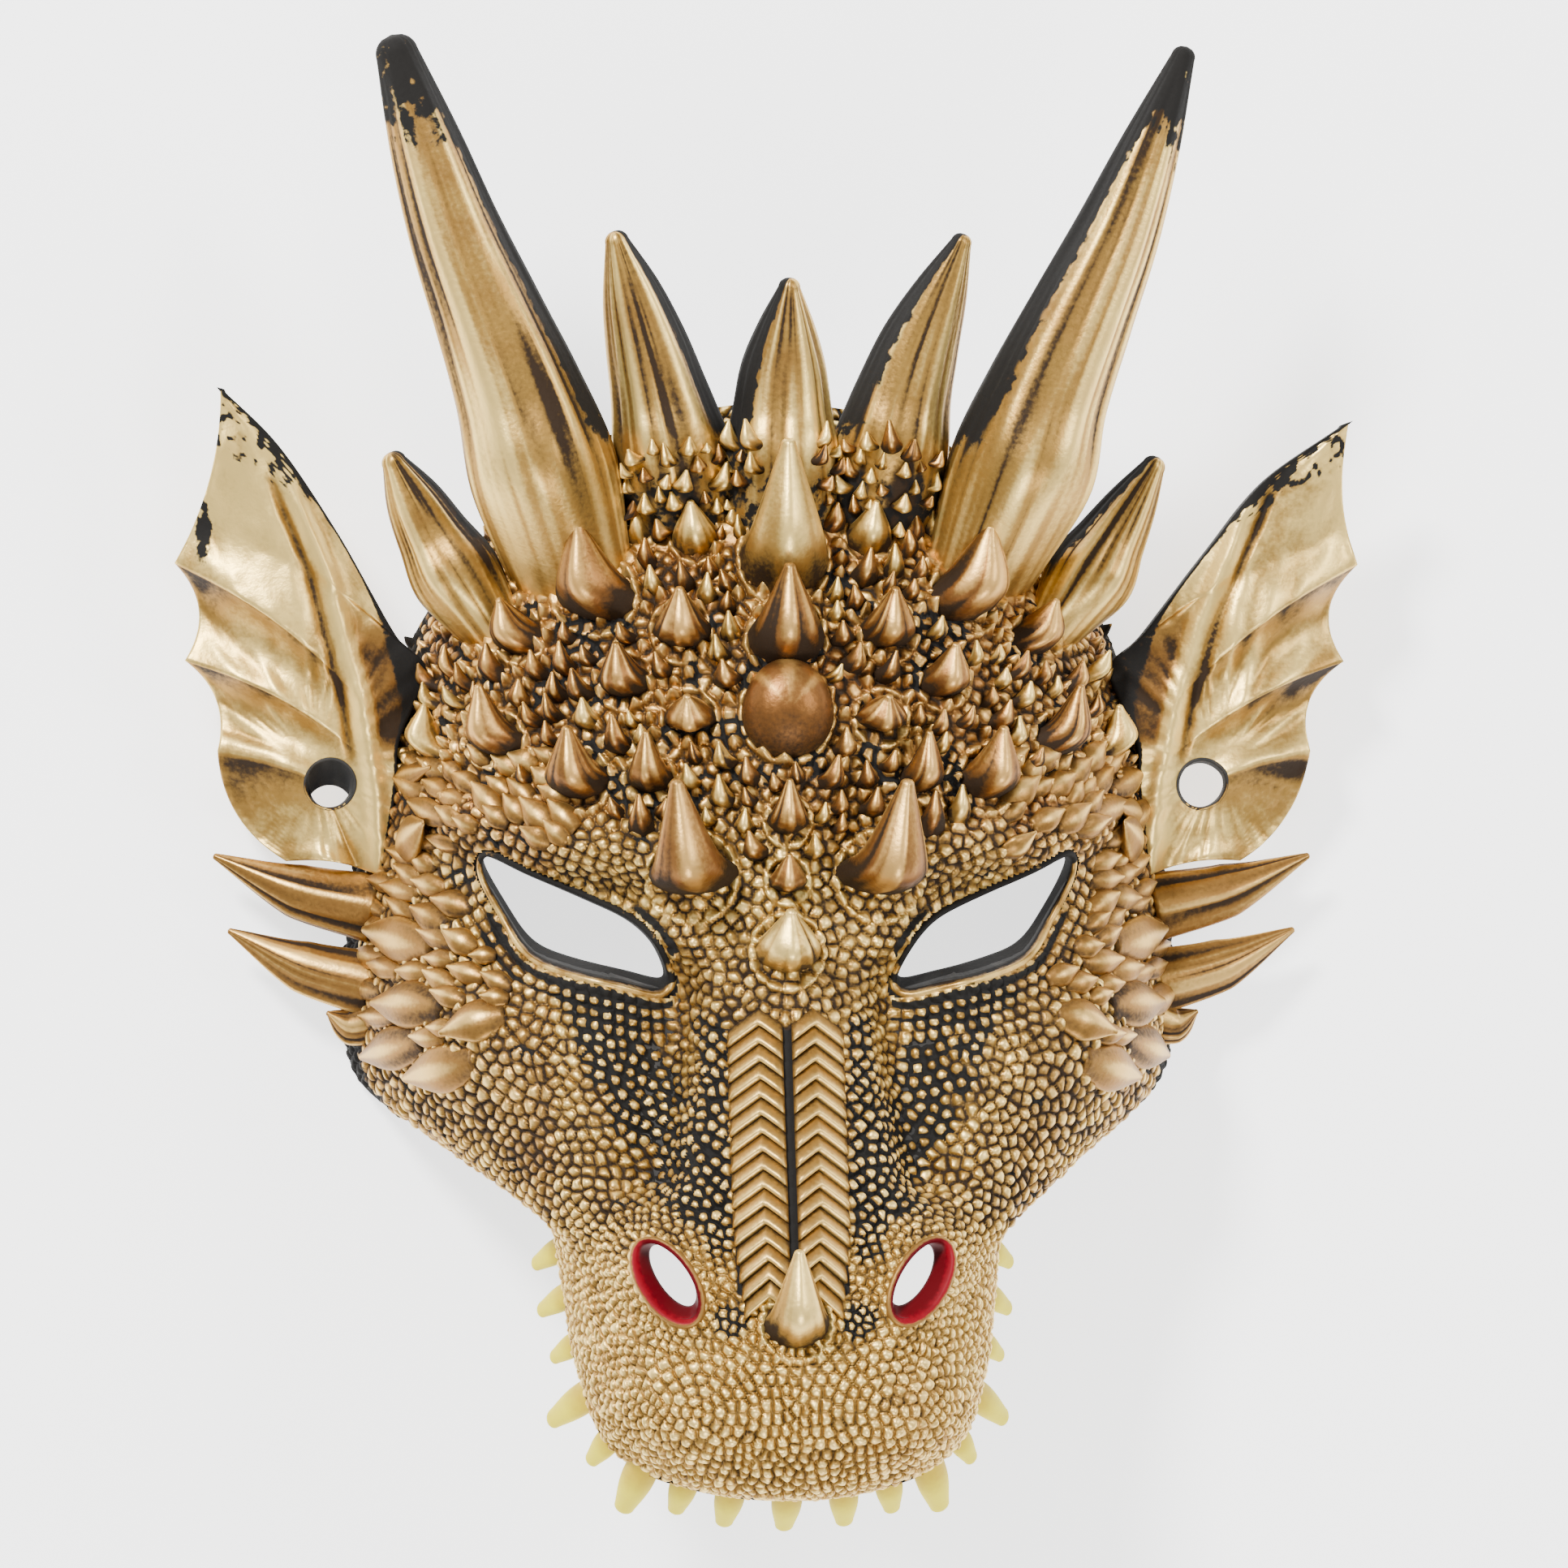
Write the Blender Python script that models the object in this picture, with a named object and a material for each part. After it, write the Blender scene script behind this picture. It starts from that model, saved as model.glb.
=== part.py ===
"""A dragon mask moulded in one piece of soft foam, lying on its back with the face up.

X runs across the face, Y runs up the face from the teeth to the horns, and Z points out of it.
The origin is the middle of the underside of the mask's box."""

import math

import bmesh
import bpy
import numpy as np
from mathutils.bvhtree import BVHTree

# Driving dimensions, in metres.
MASK_HEIGHT = 0.300  # from the front teeth to the tips of the big horns
WALL = 0.005  # foam between the face and the hollow behind it
EAR_THICKNESS = 0.0042
STRAP_HOLE_DIAMETER = 0.0098
STRAP_HOLE_OUT = 0.0895  # from the middle of the face to a strap hole
NOSTRIL_LENGTH = 0.0175
NOSTRIL_WIDTH = 0.0091
NOSTRIL_OUT = 0.0253
NOSTRIL_TURN = math.radians(33)  # the upper end leans outwards
NOSTRIL_TAPER = 0.84  # size of the nostril at the back of the wall, as a share of its rim
TOOTH_WIDTH = 0.0060
TOOTH_LENGTH = 0.0115
BRIDGE_PLATES = 12
BRIDGE_PLATE_RISE = 0.0012

# The carved form is given in units of its own height: one unit is a millimetre at full size.
UNIT = MASK_HEIGHT / 300
UP = (0, 0, 1)

# Sections of the face from the crown to the lip. Each runs from the middle line to both rims: middle y,
# middle z, rim x, rim y, rim z, how square it is (2 is an ellipse) and the angle at which it ends there.
SECTIONS = (
    (77.0, 44.0, 34.0, 70.5, 37.0, 2.0, 30.0),
    (66.0, 52.5, 55.0, 54.0, 27.0, 2.0, 46.0),
    (50.0, 61.0, 68.5, 36.5, 12.0, 2.1, 62.0),
    (26.0, 69.5, 79.0, 14.0, -3.0, 2.2, 78.0),
    (2.0, 73.0, 82.5, -3.0, -3.0, 2.1, 84.0),
    (-22.0, 72.0, 85.0, -23.0, -3.0, 2.0, 84.0),
    (-46.0, 74.0, 87.0, -45.0, -3.0, 1.9, 84.0),
    (-68.0, 82.0, 82.5, -61.5, 2.0, 1.9, 82.0),
    (-86.0, 90.0, 66.5, -73.0, 16.0, 2.0, 82.0),
    (-102.0, 95.5, 48.0, -84.0, 36.0, 2.4, 84.0),
    (-117.0, 97.5, 44.0, -98.0, 47.0, 2.7, 84.0),
    (-131.0, 94.0, 42.0, -114.0, 56.0, 2.7, 78.0),
    (-140.5, 85.0, 37.0, -129.0, 64.0, 2.4, 62.0),
    (-143.0, 75.0, 30.0, -137.0, 70.0, 2.0, 44.0),
)
FINE_ROWS, FINE_COLUMNS = 300, 301  # how finely the face is measured before its points are spread evenly
SHELL_ROWS = 132
SHELL_COLUMNS = 120
SHELL_TRIANGLES = 2500
SOFTENING = 12  # rounds of evening out the directions in which the wall's thickness is measured

# Broad swells and hollows of the face, the same on both sides: how far each rises,
# where its middle is, and its half length, half width and turn in degrees.
SWELLS = (
    (6.0, (60.0, -50.0), 26.0, 20.0, 35.0),  # cheek
    (-5.5, (42.0, -27.0), 26.0, 14.0, -22.0),  # eye socket
    (5.0, (26.0, -97.0), 16.0, 13.0, 60.0),  # nostril
    (2.5, (23.0, -126.0), 20.0, 13.0, 0.0),  # upper lip
    (3.0, (26.0, 38.0), 26.0, 20.0, 30.0),  # forehead
)
# Long ridges and grooves: how far each rises, its two ends and its half width.
RIDGES = (
    (4.5, (0.0, -42.0), (0.0, -97.0), 15.0),  # nose bridge
    (-9.0, (25.0, -42.0), (30.0, -74.0), 12.0),  # groove beside the nose
    (4.5, (19.0, -17.0), (62.0, -7.0), 10.0),  # brow
    (3.0, (0.0, 66.0), (0.0, -28.0), 16.0),  # middle of the forehead
    (2.5, (66.0, -30.0), (30.0, -44.0), 7.0),  # lower lid
)

# The right eye hole, from its outer corner round over the top.
EYE_OUTLINE = (
    (59.4, -14.6),
    (50.6, -18.3),
    (39.5, -23.1),
    (30.6, -27.5),
    (25.5, -33.1),
    (23.8, -38.9),
    (31.9, -37.3),
    (41.8, -34.9),
    (49.0, -31.8),
    (54.0, -25.3),
)

EYE_LID = 2.8  # how far the lower lid slopes out through the wall
EYE_SIDES = 26
NOSTRIL_Y = -98.4  # the nostrils' place up the face
NOSTRIL_LEAN = (-0.9, 0.6)  # how far a nostril shifts from its rim to the back of the wall
ROUND_SIDES = 16  # sides of the nostrils and strap holes
CUT_PAST = 2.0  # how far a cutter runs past a face of the wall
LEAST_SLOPE = 0.4  # where the wall leans away more than this, a cutter goes no deeper

# Horns: a smooth line from the foot on the skin to the tip, and the widths spread evenly along it.
HORNS = (
    (
        "big_horn_left",
        ((-43.0, 46.0, 58.0), (-53.5, 79.0, 65.0), (-66.5, 111.0, 70.0), (-78.0, 145.2, 76.0)),
        (25.0, 30.0, 25.9, 22.0, 18.6, 14.6, 8.6),
    ),
    (
        "big_horn_right",
        ((43.0, 46.0, 58.0), (53.2, 79.0, 65.0), (66.8, 111.0, 70.0), (79.2, 145.4, 76.0)),
        (25.0, 29.5, 25.3, 21.4, 17.3, 12.0, 4.8),
    ),
    (
        "mid_horn_left",
        ((-20.0, 58.0, 56.0), (-26.3, 84.0, 62.0), (-34.0, 108.3, 72.0)),
        (27.0, 23.5, 19.5, 16.3, 11.8, 4.8),
    ),
    (
        "mid_horn_right",
        ((20.0, 58.0, 56.0), (26.0, 84.0, 62.0), (35.0, 108.3, 72.0)),
        (27.0, 23.5, 19.5, 16.0, 11.0, 4.2),
    ),
    (
        "crown_horn",
        ((0.0, 56.0, 60.0), (0.0, 80.0, 62.0), (0.6, 99.3, 71.0)),
        (26.0, 23.0, 20.0, 17.0, 11.5, 4.4),
    ),
    (
        "side_horn_left",
        ((-59.0, 33.0, 38.0), (-69.3, 50.5, 38.0), (-77.2, 65.0, 42.0)),
        (13.0, 18.5, 15.0, 11.5, 5.2),
    ),
    (
        "side_horn_right",
        ((59.0, 33.0, 38.0), (69.3, 50.5, 38.0), (77.2, 64.6, 42.0)),
        (13.0, 18.0, 14.0, 10.0, 4.8),
    ),
)
HORN_SIDES = 8
HORN_DEPTH = 0.74  # depth of a horn as a share of its width
HORN_KEEL = 0.22  # how much higher the ridge down its front stands
HORN_FOOT = 0.7  # length of a horn's foot up the face, as a share of its width
TIP_LENGTH = 0.45  # how far a blunt tip rounds off, as a share of its width

# Ribs of an ear fin from its foot to its tip: where each starts in the side of the face, where it ends,
# how far the edge dips between it and the next as a share of their distance, and the steps to the next.
EAR_RIBS = (
    ((78.5, -19.0, 15.0), (98.2, -15.8, 12.0), -0.13, 3),
    ((77.0, -8.0, 20.0), (112.3, 6.8, 15.0), 0.17, 4),
    ((76.0, 0.0, 23.0), (119.0, 25.2, 17.0), 0.20, 4),
    ((75.5, 9.0, 25.5), (121.2, 45.0, 22.0), 0.07, 7),
)
EAR_NECK = (70.0, 23.0, 25.0)  # where the fin's inner edge leaves the face
EAR_COLUMNS = 7
EAR_RIB_RISE = 2.6  # how far the ribs stand out of the fin
EAR_BOW = 0.10  # how far a fin bulges between its edges, as a share of its width there
EAR_BOW_UP = 0.7  # how much of that also goes up the face
EAR_EDGE = (1.2, 0.2)  # the rib along the inner edge: its rise as a share of the others', and its width
EAR_ROOT, EAR_HEM = 1.4, 0.9  # thickness at the inner and outer edge, as shares of the fin's
EAR_TIP_HALF = 0.7
EAR_TIPS = (
    ("ear_left", -1, ((-76.5, 30.5, 28.0), (-87.9, 50.4, 31.0), (-100.2, 68.4, 34.5), (-112.1, 80.1, 38.0))),
    ("ear_right", 1, ((76.5, 30.5, 28.0), (89.3, 47.5, 31.0), (100.6, 61.6, 34.0), (117.7, 73.8, 38.0))),
)

# Jaw spikes: foot, tip and width.
JAW_SPIKES = (
    ((80.0, -23.0, 14.0), (112.5, -14.9, 12.0), 16.5),
    ((80.5, -38.0, 14.0), (109.5, -30.2, 11.0), 14.5),
    ((81.0, -48.0, 13.0), (89.5, -47.0, 12.0), 11.0),
)
SPIKE_WIDTHS = (1.0, 0.78, 0.10)
SPIKE_FORM = (6, 0.6, 0.3)
SPIKE_RINGS = 4
SPIKE_SAG = 1.6  # how far a spike's middle hangs below a straight line

# Thorns on one side of the face: where the foot is, how wide it is, how far the tip stands up the face
# from the foot, how far outwards it leans and how far it rises from the skin.
THORNS = (
    ("temple", (37.5, 38.0), 14.0, 15.0, 1.5, 9.0),
    ("crest", (20.7, 30.5), 10.5, 10.0, 0.5, 6.5),
    ("crest_low", (32.2, 20.5), 9.5, 9.0, 1.0, 5.5),
    ("boss", (19.3, 13.1), 9.5, 5.0, 0.5, 5.5),
    ("brow_outer", (57.3, 9.0), 10.0, 13.0, 1.5, 6.0),
    ("brow_middle", (41.6, 1.0), 11.5, 13.0, 1.0, 6.5),
    ("brow_inner", (27.3, 1.0), 8.5, 12.0, 0.5, 5.5),
    ("ear_foot", (70.5, 8.0), 8.5, 9.0, -2.0, 4.5),
    ("temple_low", (52.6, 30.0), 9.5, 7.0, 2.0, 5.0),
    ("hairline", (17.5, 49.5), 8.5, 7.0, 1.0, 4.5),
    ("brow_horn", (18.9, -18.5), 15.5, 28.0, 3.6, 12.0),
)
MIDDLE_THORNS = (
    ("forehead_horn", (0.0, 45.0), 16.0, 27.0, 0.0, 11.0),
    ("forehead_boss", (0.0, 29.0), 14.0, 17.0, 0.0, 8.0),
    ("third_eye", (0.0, 14.0), 16.5, 2.0, 0.0, 7.5),
    ("brow_drop", (0.0, -7.5), 8.0, 11.0, 0.0, 4.5),
    ("brow_bead", (0.0, -19.5), 7.5, 7.0, 0.0, 4.0),
    ("nose_root", (0.0, -33.5), 12.5, 9.0, 0.0, 6.5),
    ("nose_horn", (0.0, -106.5), 12.0, 20.0, 0.0, 6.0),
)
THORN_WIDTHS = (1.05, 0.72, 0.16)  # widths along a thorn, as shares of its own
THORN_FORM = (6, 0.95, 0.1)  # sides, depth and keel, as for every tapered form below
THORN_FOOT = 1.1
THORN_REACH = 0.75  # how much of its length up the face a thorn keeps once it stands on the skin
THORN_MIDDLE = 0.45  # the middle ring's place, as a share of the way to the tip
THORN_BELLY = 0.22  # how far the middle bulges out, as a share of the rise
THORN_SAG = 0.14  # how far the middle hangs down, as a share of the length
THORN_TILT = 0.4  # how far the keel faces down the face

# Leaf-shaped scales on one cheek: the foot, the tip and the width, all in front view.
CHEEK_SCALES = (
    ((76.0, -14.0), (84.0, -8.0), 9.0),
    ((70.0, -33.0), (80.5, -30.0), 9.5),
    ((68.0, -45.0), (79.0, -44.5), 10.0),
    ((62.0, -56.0), (73.0, -59.0), 10.0),
    ((56.0, -46.0), (66.5, -50.0), 9.0),
    ((72.0, -52.0), (81.0, -55.5), 9.0),
)
SCALE_WIDTHS = (0.6, 1.0, 0.16)
SCALE_FORM = (6, 0.5, 0.2)
SCALE_RISES = (-1.2, 0.8, 2.2)  # height of the foot, middle and tip over the skin

# Teeth along the lip from its middle to the last tooth: share of that way, and size.
TEETH = (
    (0.000, 1.05),
    (0.133, 1.00),
    (0.245, 0.90),
    (0.355, 1.25),
    (0.475, 0.80),
    (0.610, 1.20),
    (0.745, 0.75),
    (0.875, 0.90),
    (1.000, 0.85),
)
TEETH_END_Y = -93.0  # where the lip's last tooth stands
TOOTH_OUT = 0.64  # how far a tooth leans out of the lip, as a share of its drop
TOOTH_DROP = 0.77  # how far it drops back towards the face's underside
TOOTH_BACK = 0.35  # how far a tooth at the side leans down the face
TOOTH_ROOT = 1.6  # how deep a tooth starts in the lip
TOOTH_EVEN = 0.45  # share of a tooth's width that doesn't depend on its size
TOOTH_WIDTHS = (1.0, 0.9, 0.45)
TOOTH_FORM = (5, 0.66, 0.0)
TOOTH_RINGS = 2

# V-shaped plates down the bridge of the nose.
BRIDGE_TOP, BRIDGE_BOTTOM = -47.0, -96.0
BRIDGE_HALF = 11.0  # half width of a plate
BRIDGE_SLANT = 3.4  # how far a plate's sides hang below its middle
BRIDGE_COVER = 0.86  # a plate's length as a share of the distance to the next
BRIDGE_LIFT = (0.35, 1.3)  # how high a plate's upper and lower edge stand, as shares of its rise
BRIDGE_GROOVE = 0.25  # how much of that is left along the middle line
BRIDGE_ROOT = 2.0  # how deep a plate starts in the skin

PAINT = (0.62, 0.45, 0.22)


def clear_scene():
    """Removes every object that the startup file brings."""
    for obj in list(bpy.data.objects):
        bpy.data.objects.remove(obj)


def catmull(points, at):
    """Points of a smooth curve through rows of numbers, at places counted in rows."""
    points = np.asarray(points, float)
    at = np.clip(np.asarray(at, float), 0, len(points) - 1)
    first = np.minimum(at.astype(int), len(points) - 2)
    t = (at - first)[:, None]
    padded = np.vstack([2 * points[0] - points[1], points, 2 * points[-1] - points[-2]])
    a, b, c, d = (padded[first + k] for k in range(4))
    return 0.5 * (2 * b + (c - a) * t + (2 * a - 5 * b + 4 * c - d) * t**2 + (3 * b - a - 3 * c + d) * t**3)


def closed_curve(points, count):
    """A smooth closed curve through the points, as that many points."""
    points = np.asarray(points, float)
    wrapped = np.vstack([points[-1:], points, points[:2]])
    return catmull(wrapped, 1 + np.arange(count) * len(points) / count)


def face_point(section, across):
    """Points of the bare face, for rows of sections and places across from -1 to 1."""
    mid_y, mid_z, rim_x, rim_y, rim_z, square, end = (section[..., k] for k in range(7))
    end = np.radians(end)
    angle = np.abs(across) * end
    out = (np.sin(angle) / np.sin(end)) ** (2 / square)
    drop = (1 - np.cos(angle) ** (2 / square)) / (1 - np.cos(end) ** (2 / square))
    x = np.sign(across) * rim_x * out
    return np.stack([x, mid_y + (rim_y - mid_y) * drop, mid_z + (rim_z - mid_z) * drop], -1)


def swell(x, y, middle, half_length, half_width, turn):
    """A soft mound from 0 to 1, inside a turned ellipse."""
    turn = math.radians(turn)
    dx, dy = x - middle[0], y - middle[1]
    along = (dx * math.cos(turn) + dy * math.sin(turn)) / half_length
    aside = (-dx * math.sin(turn) + dy * math.cos(turn)) / half_width
    return np.clip(1 - along**2 - aside**2, 0, 1) ** 2


def ridge(x, y, start, end, half_width):
    """A soft ridge from 0 to 1 along the straight line from start to end."""
    sx, sy = start
    ex, ey = end
    share = ((x - sx) * (ex - sx) + (y - sy) * (ey - sy)) / ((ex - sx) ** 2 + (ey - sy) ** 2)
    share = np.clip(share, 0, 1)
    distance = np.hypot(x - sx - share * (ex - sx), y - sy - share * (ey - sy))
    return np.clip(1 - (distance / half_width) ** 2, 0, 1) ** 2


def carved_rise(points):
    """How far the broad carving stands out of the bare face at each point."""
    x, y = np.abs(points[..., 0]), points[..., 1]
    rise = sum(height * swell(x, y, *place) for height, *place in SWELLS)
    return rise + sum(height * ridge(x, y, *place) for height, *place in RIDGES)


def normals_of(grid):
    """Outward unit normals of a grid of points whose rows run down the face and columns across it."""
    normal = np.cross(np.gradient(grid, axis=1), -np.gradient(grid, axis=0))
    return normal / np.linalg.norm(normal, axis=-1, keepdims=True)


def softened(normals):
    """Normals evened out over their neighbours, so that the back of the wall doesn't fold over."""
    for _ in range(SOFTENING):
        for axis in (0, 1):
            spread = np.concatenate([normals.take([0], axis), normals, normals.take([-1], axis)], axis)
            low, high = np.arange(normals.shape[axis]), np.arange(normals.shape[axis]) + 2
            normals = (spread.take(low, axis) + 2 * normals + spread.take(high, axis)) / 4
    return normals / np.linalg.norm(normals, axis=-1, keepdims=True)


def even_places(points, count, axis):
    """Places along one axis of a grid that share out its mean length evenly."""
    steps = np.linalg.norm(np.diff(points, axis=axis), axis=-1).mean(axis=1 - axis)
    length = np.concatenate([[0], np.cumsum(steps)])
    return np.interp(np.linspace(0, length[-1], count), length, np.arange(len(length)))


def face_grid(rows, columns):
    """The carved front of the face in units, as rows by columns of points, evenly spread."""
    fine_rows = np.linspace(0, len(SECTIONS) - 1, FINE_ROWS)
    across = np.linspace(-1, 1, FINE_COLUMNS)
    fine = face_point(catmull(SECTIONS, fine_rows)[:, None, :], across[None, :])
    fine = fine + normals_of(fine) * carved_rise(fine)[..., None]
    at = even_places(fine, rows, 0)
    sections = catmull(SECTIONS, np.interp(at, np.arange(FINE_ROWS), fine_rows))
    picked = face_point(sections[:, None, :], across[None, :])
    picked = picked + normals_of(picked) * carved_rise(picked)[..., None]
    grid = np.empty((rows, columns, 3))
    for row, line in enumerate(picked):
        length = np.concatenate([[0], np.cumsum(np.linalg.norm(np.diff(line, axis=0), axis=1))])
        even = np.linspace(0, length[-1], columns)
        for k in range(3):
            grid[row, :, k] = np.interp(even, length, line[:, k])
    return grid


def new_object(name, vertices, faces):
    """A mesh object in metres, with its faces pointing out."""
    mesh = bpy.data.meshes.new(name)
    mesh.from_pydata([tuple(map(float, v)) for v in vertices], [], [tuple(map(int, f)) for f in faces])
    shaped = bmesh.new()
    shaped.from_mesh(mesh)
    bmesh.ops.recalc_face_normals(shaped, faces=shaped.faces)
    shaped.to_mesh(mesh)
    shaped.free()
    obj = bpy.data.objects.new(name, mesh)
    bpy.context.scene.collection.objects.link(obj)
    return obj


def helper(obj, collection):
    """Marks an object as one that a Boolean uses up, and files it in that collection."""
    bpy.context.scene.collection.objects.unlink(obj)
    collection.objects.link(obj)
    obj.hide_render = True
    obj.display_type = "WIRE"
    return obj


def sheet_solid(name, front, back):
    """A closed solid between two grids of points that face each other."""
    rows, columns = front.shape[:2]
    index = np.arange(rows * columns).reshape(rows, columns)
    a, b, c, d = index[:-1, :-1], index[:-1, 1:], index[1:, 1:], index[1:, :-1]
    quads = np.stack([a, d, c, b], -1).reshape(-1, 4)
    behind = quads[:, ::-1] + rows * columns
    edge = np.concatenate([index[0, :-1], index[:-1, -1], index[-1, :0:-1], index[:0:-1, 0]])
    after = np.roll(edge, -1)
    sides = np.stack([edge, after, after + rows * columns, edge + rows * columns], -1)
    vertices = np.concatenate([front.reshape(-1, 3), back.reshape(-1, 3)])
    return new_object(name, vertices * UNIT, np.concatenate([quads, behind, sides]))


class Skin:
    """The carved front of the face, to find what lies on it at a place in front view."""

    def __init__(self, grid):
        rows, columns = grid.shape[:2]
        index = np.arange(rows * columns).reshape(rows, columns)
        quads = np.stack([index[:-1, :-1], index[1:, :-1], index[1:, 1:], index[:-1, 1:]], -1)
        self.tree = BVHTree.FromPolygons(grid.reshape(-1, 3).tolist(), quads.reshape(-1, 4).tolist())

    def at(self, x, y):
        """The point of the skin in front of (x, y), and its outward normal."""
        point, normal, _, _ = self.tree.ray_cast((x, y, 200.0), (0, 0, -1))
        if point is None:
            point, normal, _, _ = self.tree.find_nearest((x, y, 45.0))
        normal = np.array(normal)
        return np.array(point), normal if normal[2] > 0 else -normal

    def inside_wall(self, x, y):
        """The point half-way through the wall behind (x, y)."""
        point, normal = self.at(x, y)
        return point - normal * WALL / UNIT / 2


def tapered_solid(name, line, widths, form, front, rings, skin=None, spread=1.0):
    """A closed horn along a smooth line, with a short blunt tip.

    The form is how many sides it has, its depth as a share of its width, and how much higher the keel
    on its front stands. Where a skin is given, the foot is a ring half-way through its wall, longer or
    shorter up the face."""
    sides, depth, keel = form
    at = np.linspace(0, 1, rings)
    path = catmull(line, at * (len(line) - 1))
    wide = np.interp(at, np.linspace(0, 1, len(widths)), widths)
    tangent = np.gradient(path, axis=0)
    tangent /= np.linalg.norm(tangent, axis=1, keepdims=True)
    aside = np.cross(tangent, np.asarray(front, float))
    aside /= np.linalg.norm(aside, axis=1, keepdims=True)
    ahead = np.cross(aside, tangent)
    angles = np.arange(sides) * 2 * math.pi / sides + math.pi / 2
    vertices = []
    for ring in range(rings):
        for angle in angles:
            left, out = math.cos(angle) * wide[ring] / 2, math.sin(angle) * wide[ring] / 2
            if ring == 0 and skin:
                foot = path[0] + aside[0] * left - tangent[0] * out * spread
                vertices.append(skin.inside_wall(foot[0], foot[1]))
                continue
            stretch = depth * (1 + keel * max(0.0, math.sin(angle)) ** 6)
            vertices.append(path[ring] + aside[ring] * left + ahead[ring] * out * stretch)
    centre = path[0]
    if skin:
        centre = skin.inside_wall(path[0][0], path[0][1])
    vertices += [path[-1] + tangent[-1] * widths[-1] * TIP_LENGTH, centre]
    tip, root = len(vertices) - 2, len(vertices) - 1
    faces = []
    for k in range(sides):
        following = (k + 1) % sides
        faces.append((root, following, k))
        for low in range(0, (rings - 1) * sides, sides):
            faces.append((low + k, low + following, low + sides + following, low + sides + k))
        faces.append(((rings - 1) * sides + k, (rings - 1) * sides + following, tip))
    return new_object(name, np.array(vertices) * UNIT, faces)


def ear_grid(side, tip_line):
    """Front of an ear fin in units: rows fan out from its foot to its tip, columns run outwards."""
    mirror = np.array([side, 1, 1])
    starts = np.array([rib[0] for rib in EAR_RIBS] + [EAR_NECK]) * mirror
    inner_line = np.vstack([starts, tip_line])
    ends = np.vstack([np.array([rib[1] for rib in EAR_RIBS]) * mirror, tip_line[-1]])
    last = len(EAR_RIBS) - 1
    rows = []
    for number, (_, _, dip, steps) in enumerate(EAR_RIBS):
        start, end = ends[number], ends[number + 1]
        along = end - start
        inward = np.array([-side * along[1], side * along[0], 0.0])
        for share in np.arange(steps + (number == last)) / steps:
            reach = (len(inner_line) - 1 - last) if number == last else 1
            inner = catmull(inner_line, [number + share * reach])[0]
            outer = start + along * share + inward * dip * 4 * share * (1 - share)
            rise = EAR_RIB_RISE * (0.5 + 0.5 * math.cos(2 * math.pi * share))
            rows.append((inner, outer, rise, share if number == last else 0.0))
    out = np.linspace(0, 1, EAR_COLUMNS)
    grid = []
    for inner, outer, rise, towards_tip in rows:
        bow = np.linalg.norm(outer - inner) * EAR_BOW * np.sin(out * math.pi)
        edge_rib = EAR_RIB_RISE * EAR_EDGE[0] * np.exp(-((out / EAR_EDGE[1]) ** 2))
        line = inner + (outer - inner) * out[:, None]
        line[:, 2] += (bow + edge_rib + rise * np.sqrt(out)) * (1 - towards_tip**3)
        line[:, 1] += bow * EAR_BOW_UP * (1 - towards_tip)
        grid.append(line)
    across = np.linspace(-EAR_TIP_HALF, EAR_TIP_HALF, EAR_COLUMNS)[:, None]
    grid[-1] = tip_line[-1] + across * np.array([side, -0.6, 0])
    return np.array(grid)


def make_ears(collection):
    """Both ear fins, as closed sheets that are thicker where they leave the face."""
    for name, side, tip_line in EAR_TIPS:
        front = ear_grid(side, np.array(tip_line))
        back = front.copy()
        back[..., 2] -= EAR_THICKNESS / UNIT * np.linspace(EAR_ROOT, EAR_HEM, EAR_COLUMNS)[None, :]
        if side > 0:
            front, back = front[:, ::-1], back[:, ::-1]
        helper(sheet_solid(name, front, back), collection)


def make_horns(skin, collection):
    """The two big horns, and the crown and side horns between them."""
    for name, line, widths in HORNS:
        form = (HORN_SIDES, HORN_DEPTH, HORN_KEEL)
        shape = tapered_solid(name, line, widths, form, UP, len(widths), skin, HORN_FOOT)
        helper(shape, collection)


def make_thorns(skin, collection):
    """The drop-shaped thorns of the forehead, brow and nose, leaning up the face."""
    placed = [(name, 1, *rest) for name, *rest in MIDDLE_THORNS]
    for word, side in (("left", -1), ("right", 1)):
        placed += [(f"{name}_{word}", side, *rest) for name, *rest in THORNS]
    for name, side, (x, y), width, up, lean, rise in placed:
        foot, normal = skin.at(side * x, y)
        tip = foot + normal * rise + np.array([side * lean, up * THORN_REACH, 0.0])
        belly = normal * rise * THORN_BELLY - np.array([0, up * THORN_SAG, 0])
        middle = foot + (tip - foot) * THORN_MIDDLE + belly
        front = normal + np.array([0, -THORN_TILT, 0])
        widths = np.array(THORN_WIDTHS) * width
        line = (foot, middle, tip)
        shape = tapered_solid(name, line, widths, THORN_FORM, front, len(line), skin, THORN_FOOT)
        helper(shape, collection)


def make_cheek_scales(skin, collection):
    """Leaf-shaped scales that overlap towards the rim of each cheek."""
    for side in (-1, 1):
        for number, (foot_place, tip_place, width) in enumerate(CHEEK_SCALES):
            foot, foot_normal = skin.at(side * foot_place[0], foot_place[1])
            tip, tip_normal = skin.at(side * tip_place[0], tip_place[1])
            sunk, raised, lifted = SCALE_RISES
            middle = (foot + tip) / 2 + foot_normal * raised
            line = (foot + foot_normal * sunk, middle, tip + tip_normal * lifted)
            name = f"cheek_scale_{'left' if side < 0 else 'right'}_{number + 1}"
            widths = np.array(SCALE_WIDTHS) * width
            shape = tapered_solid(name, line, widths, SCALE_FORM, foot_normal, len(line))
            helper(shape, collection)


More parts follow.
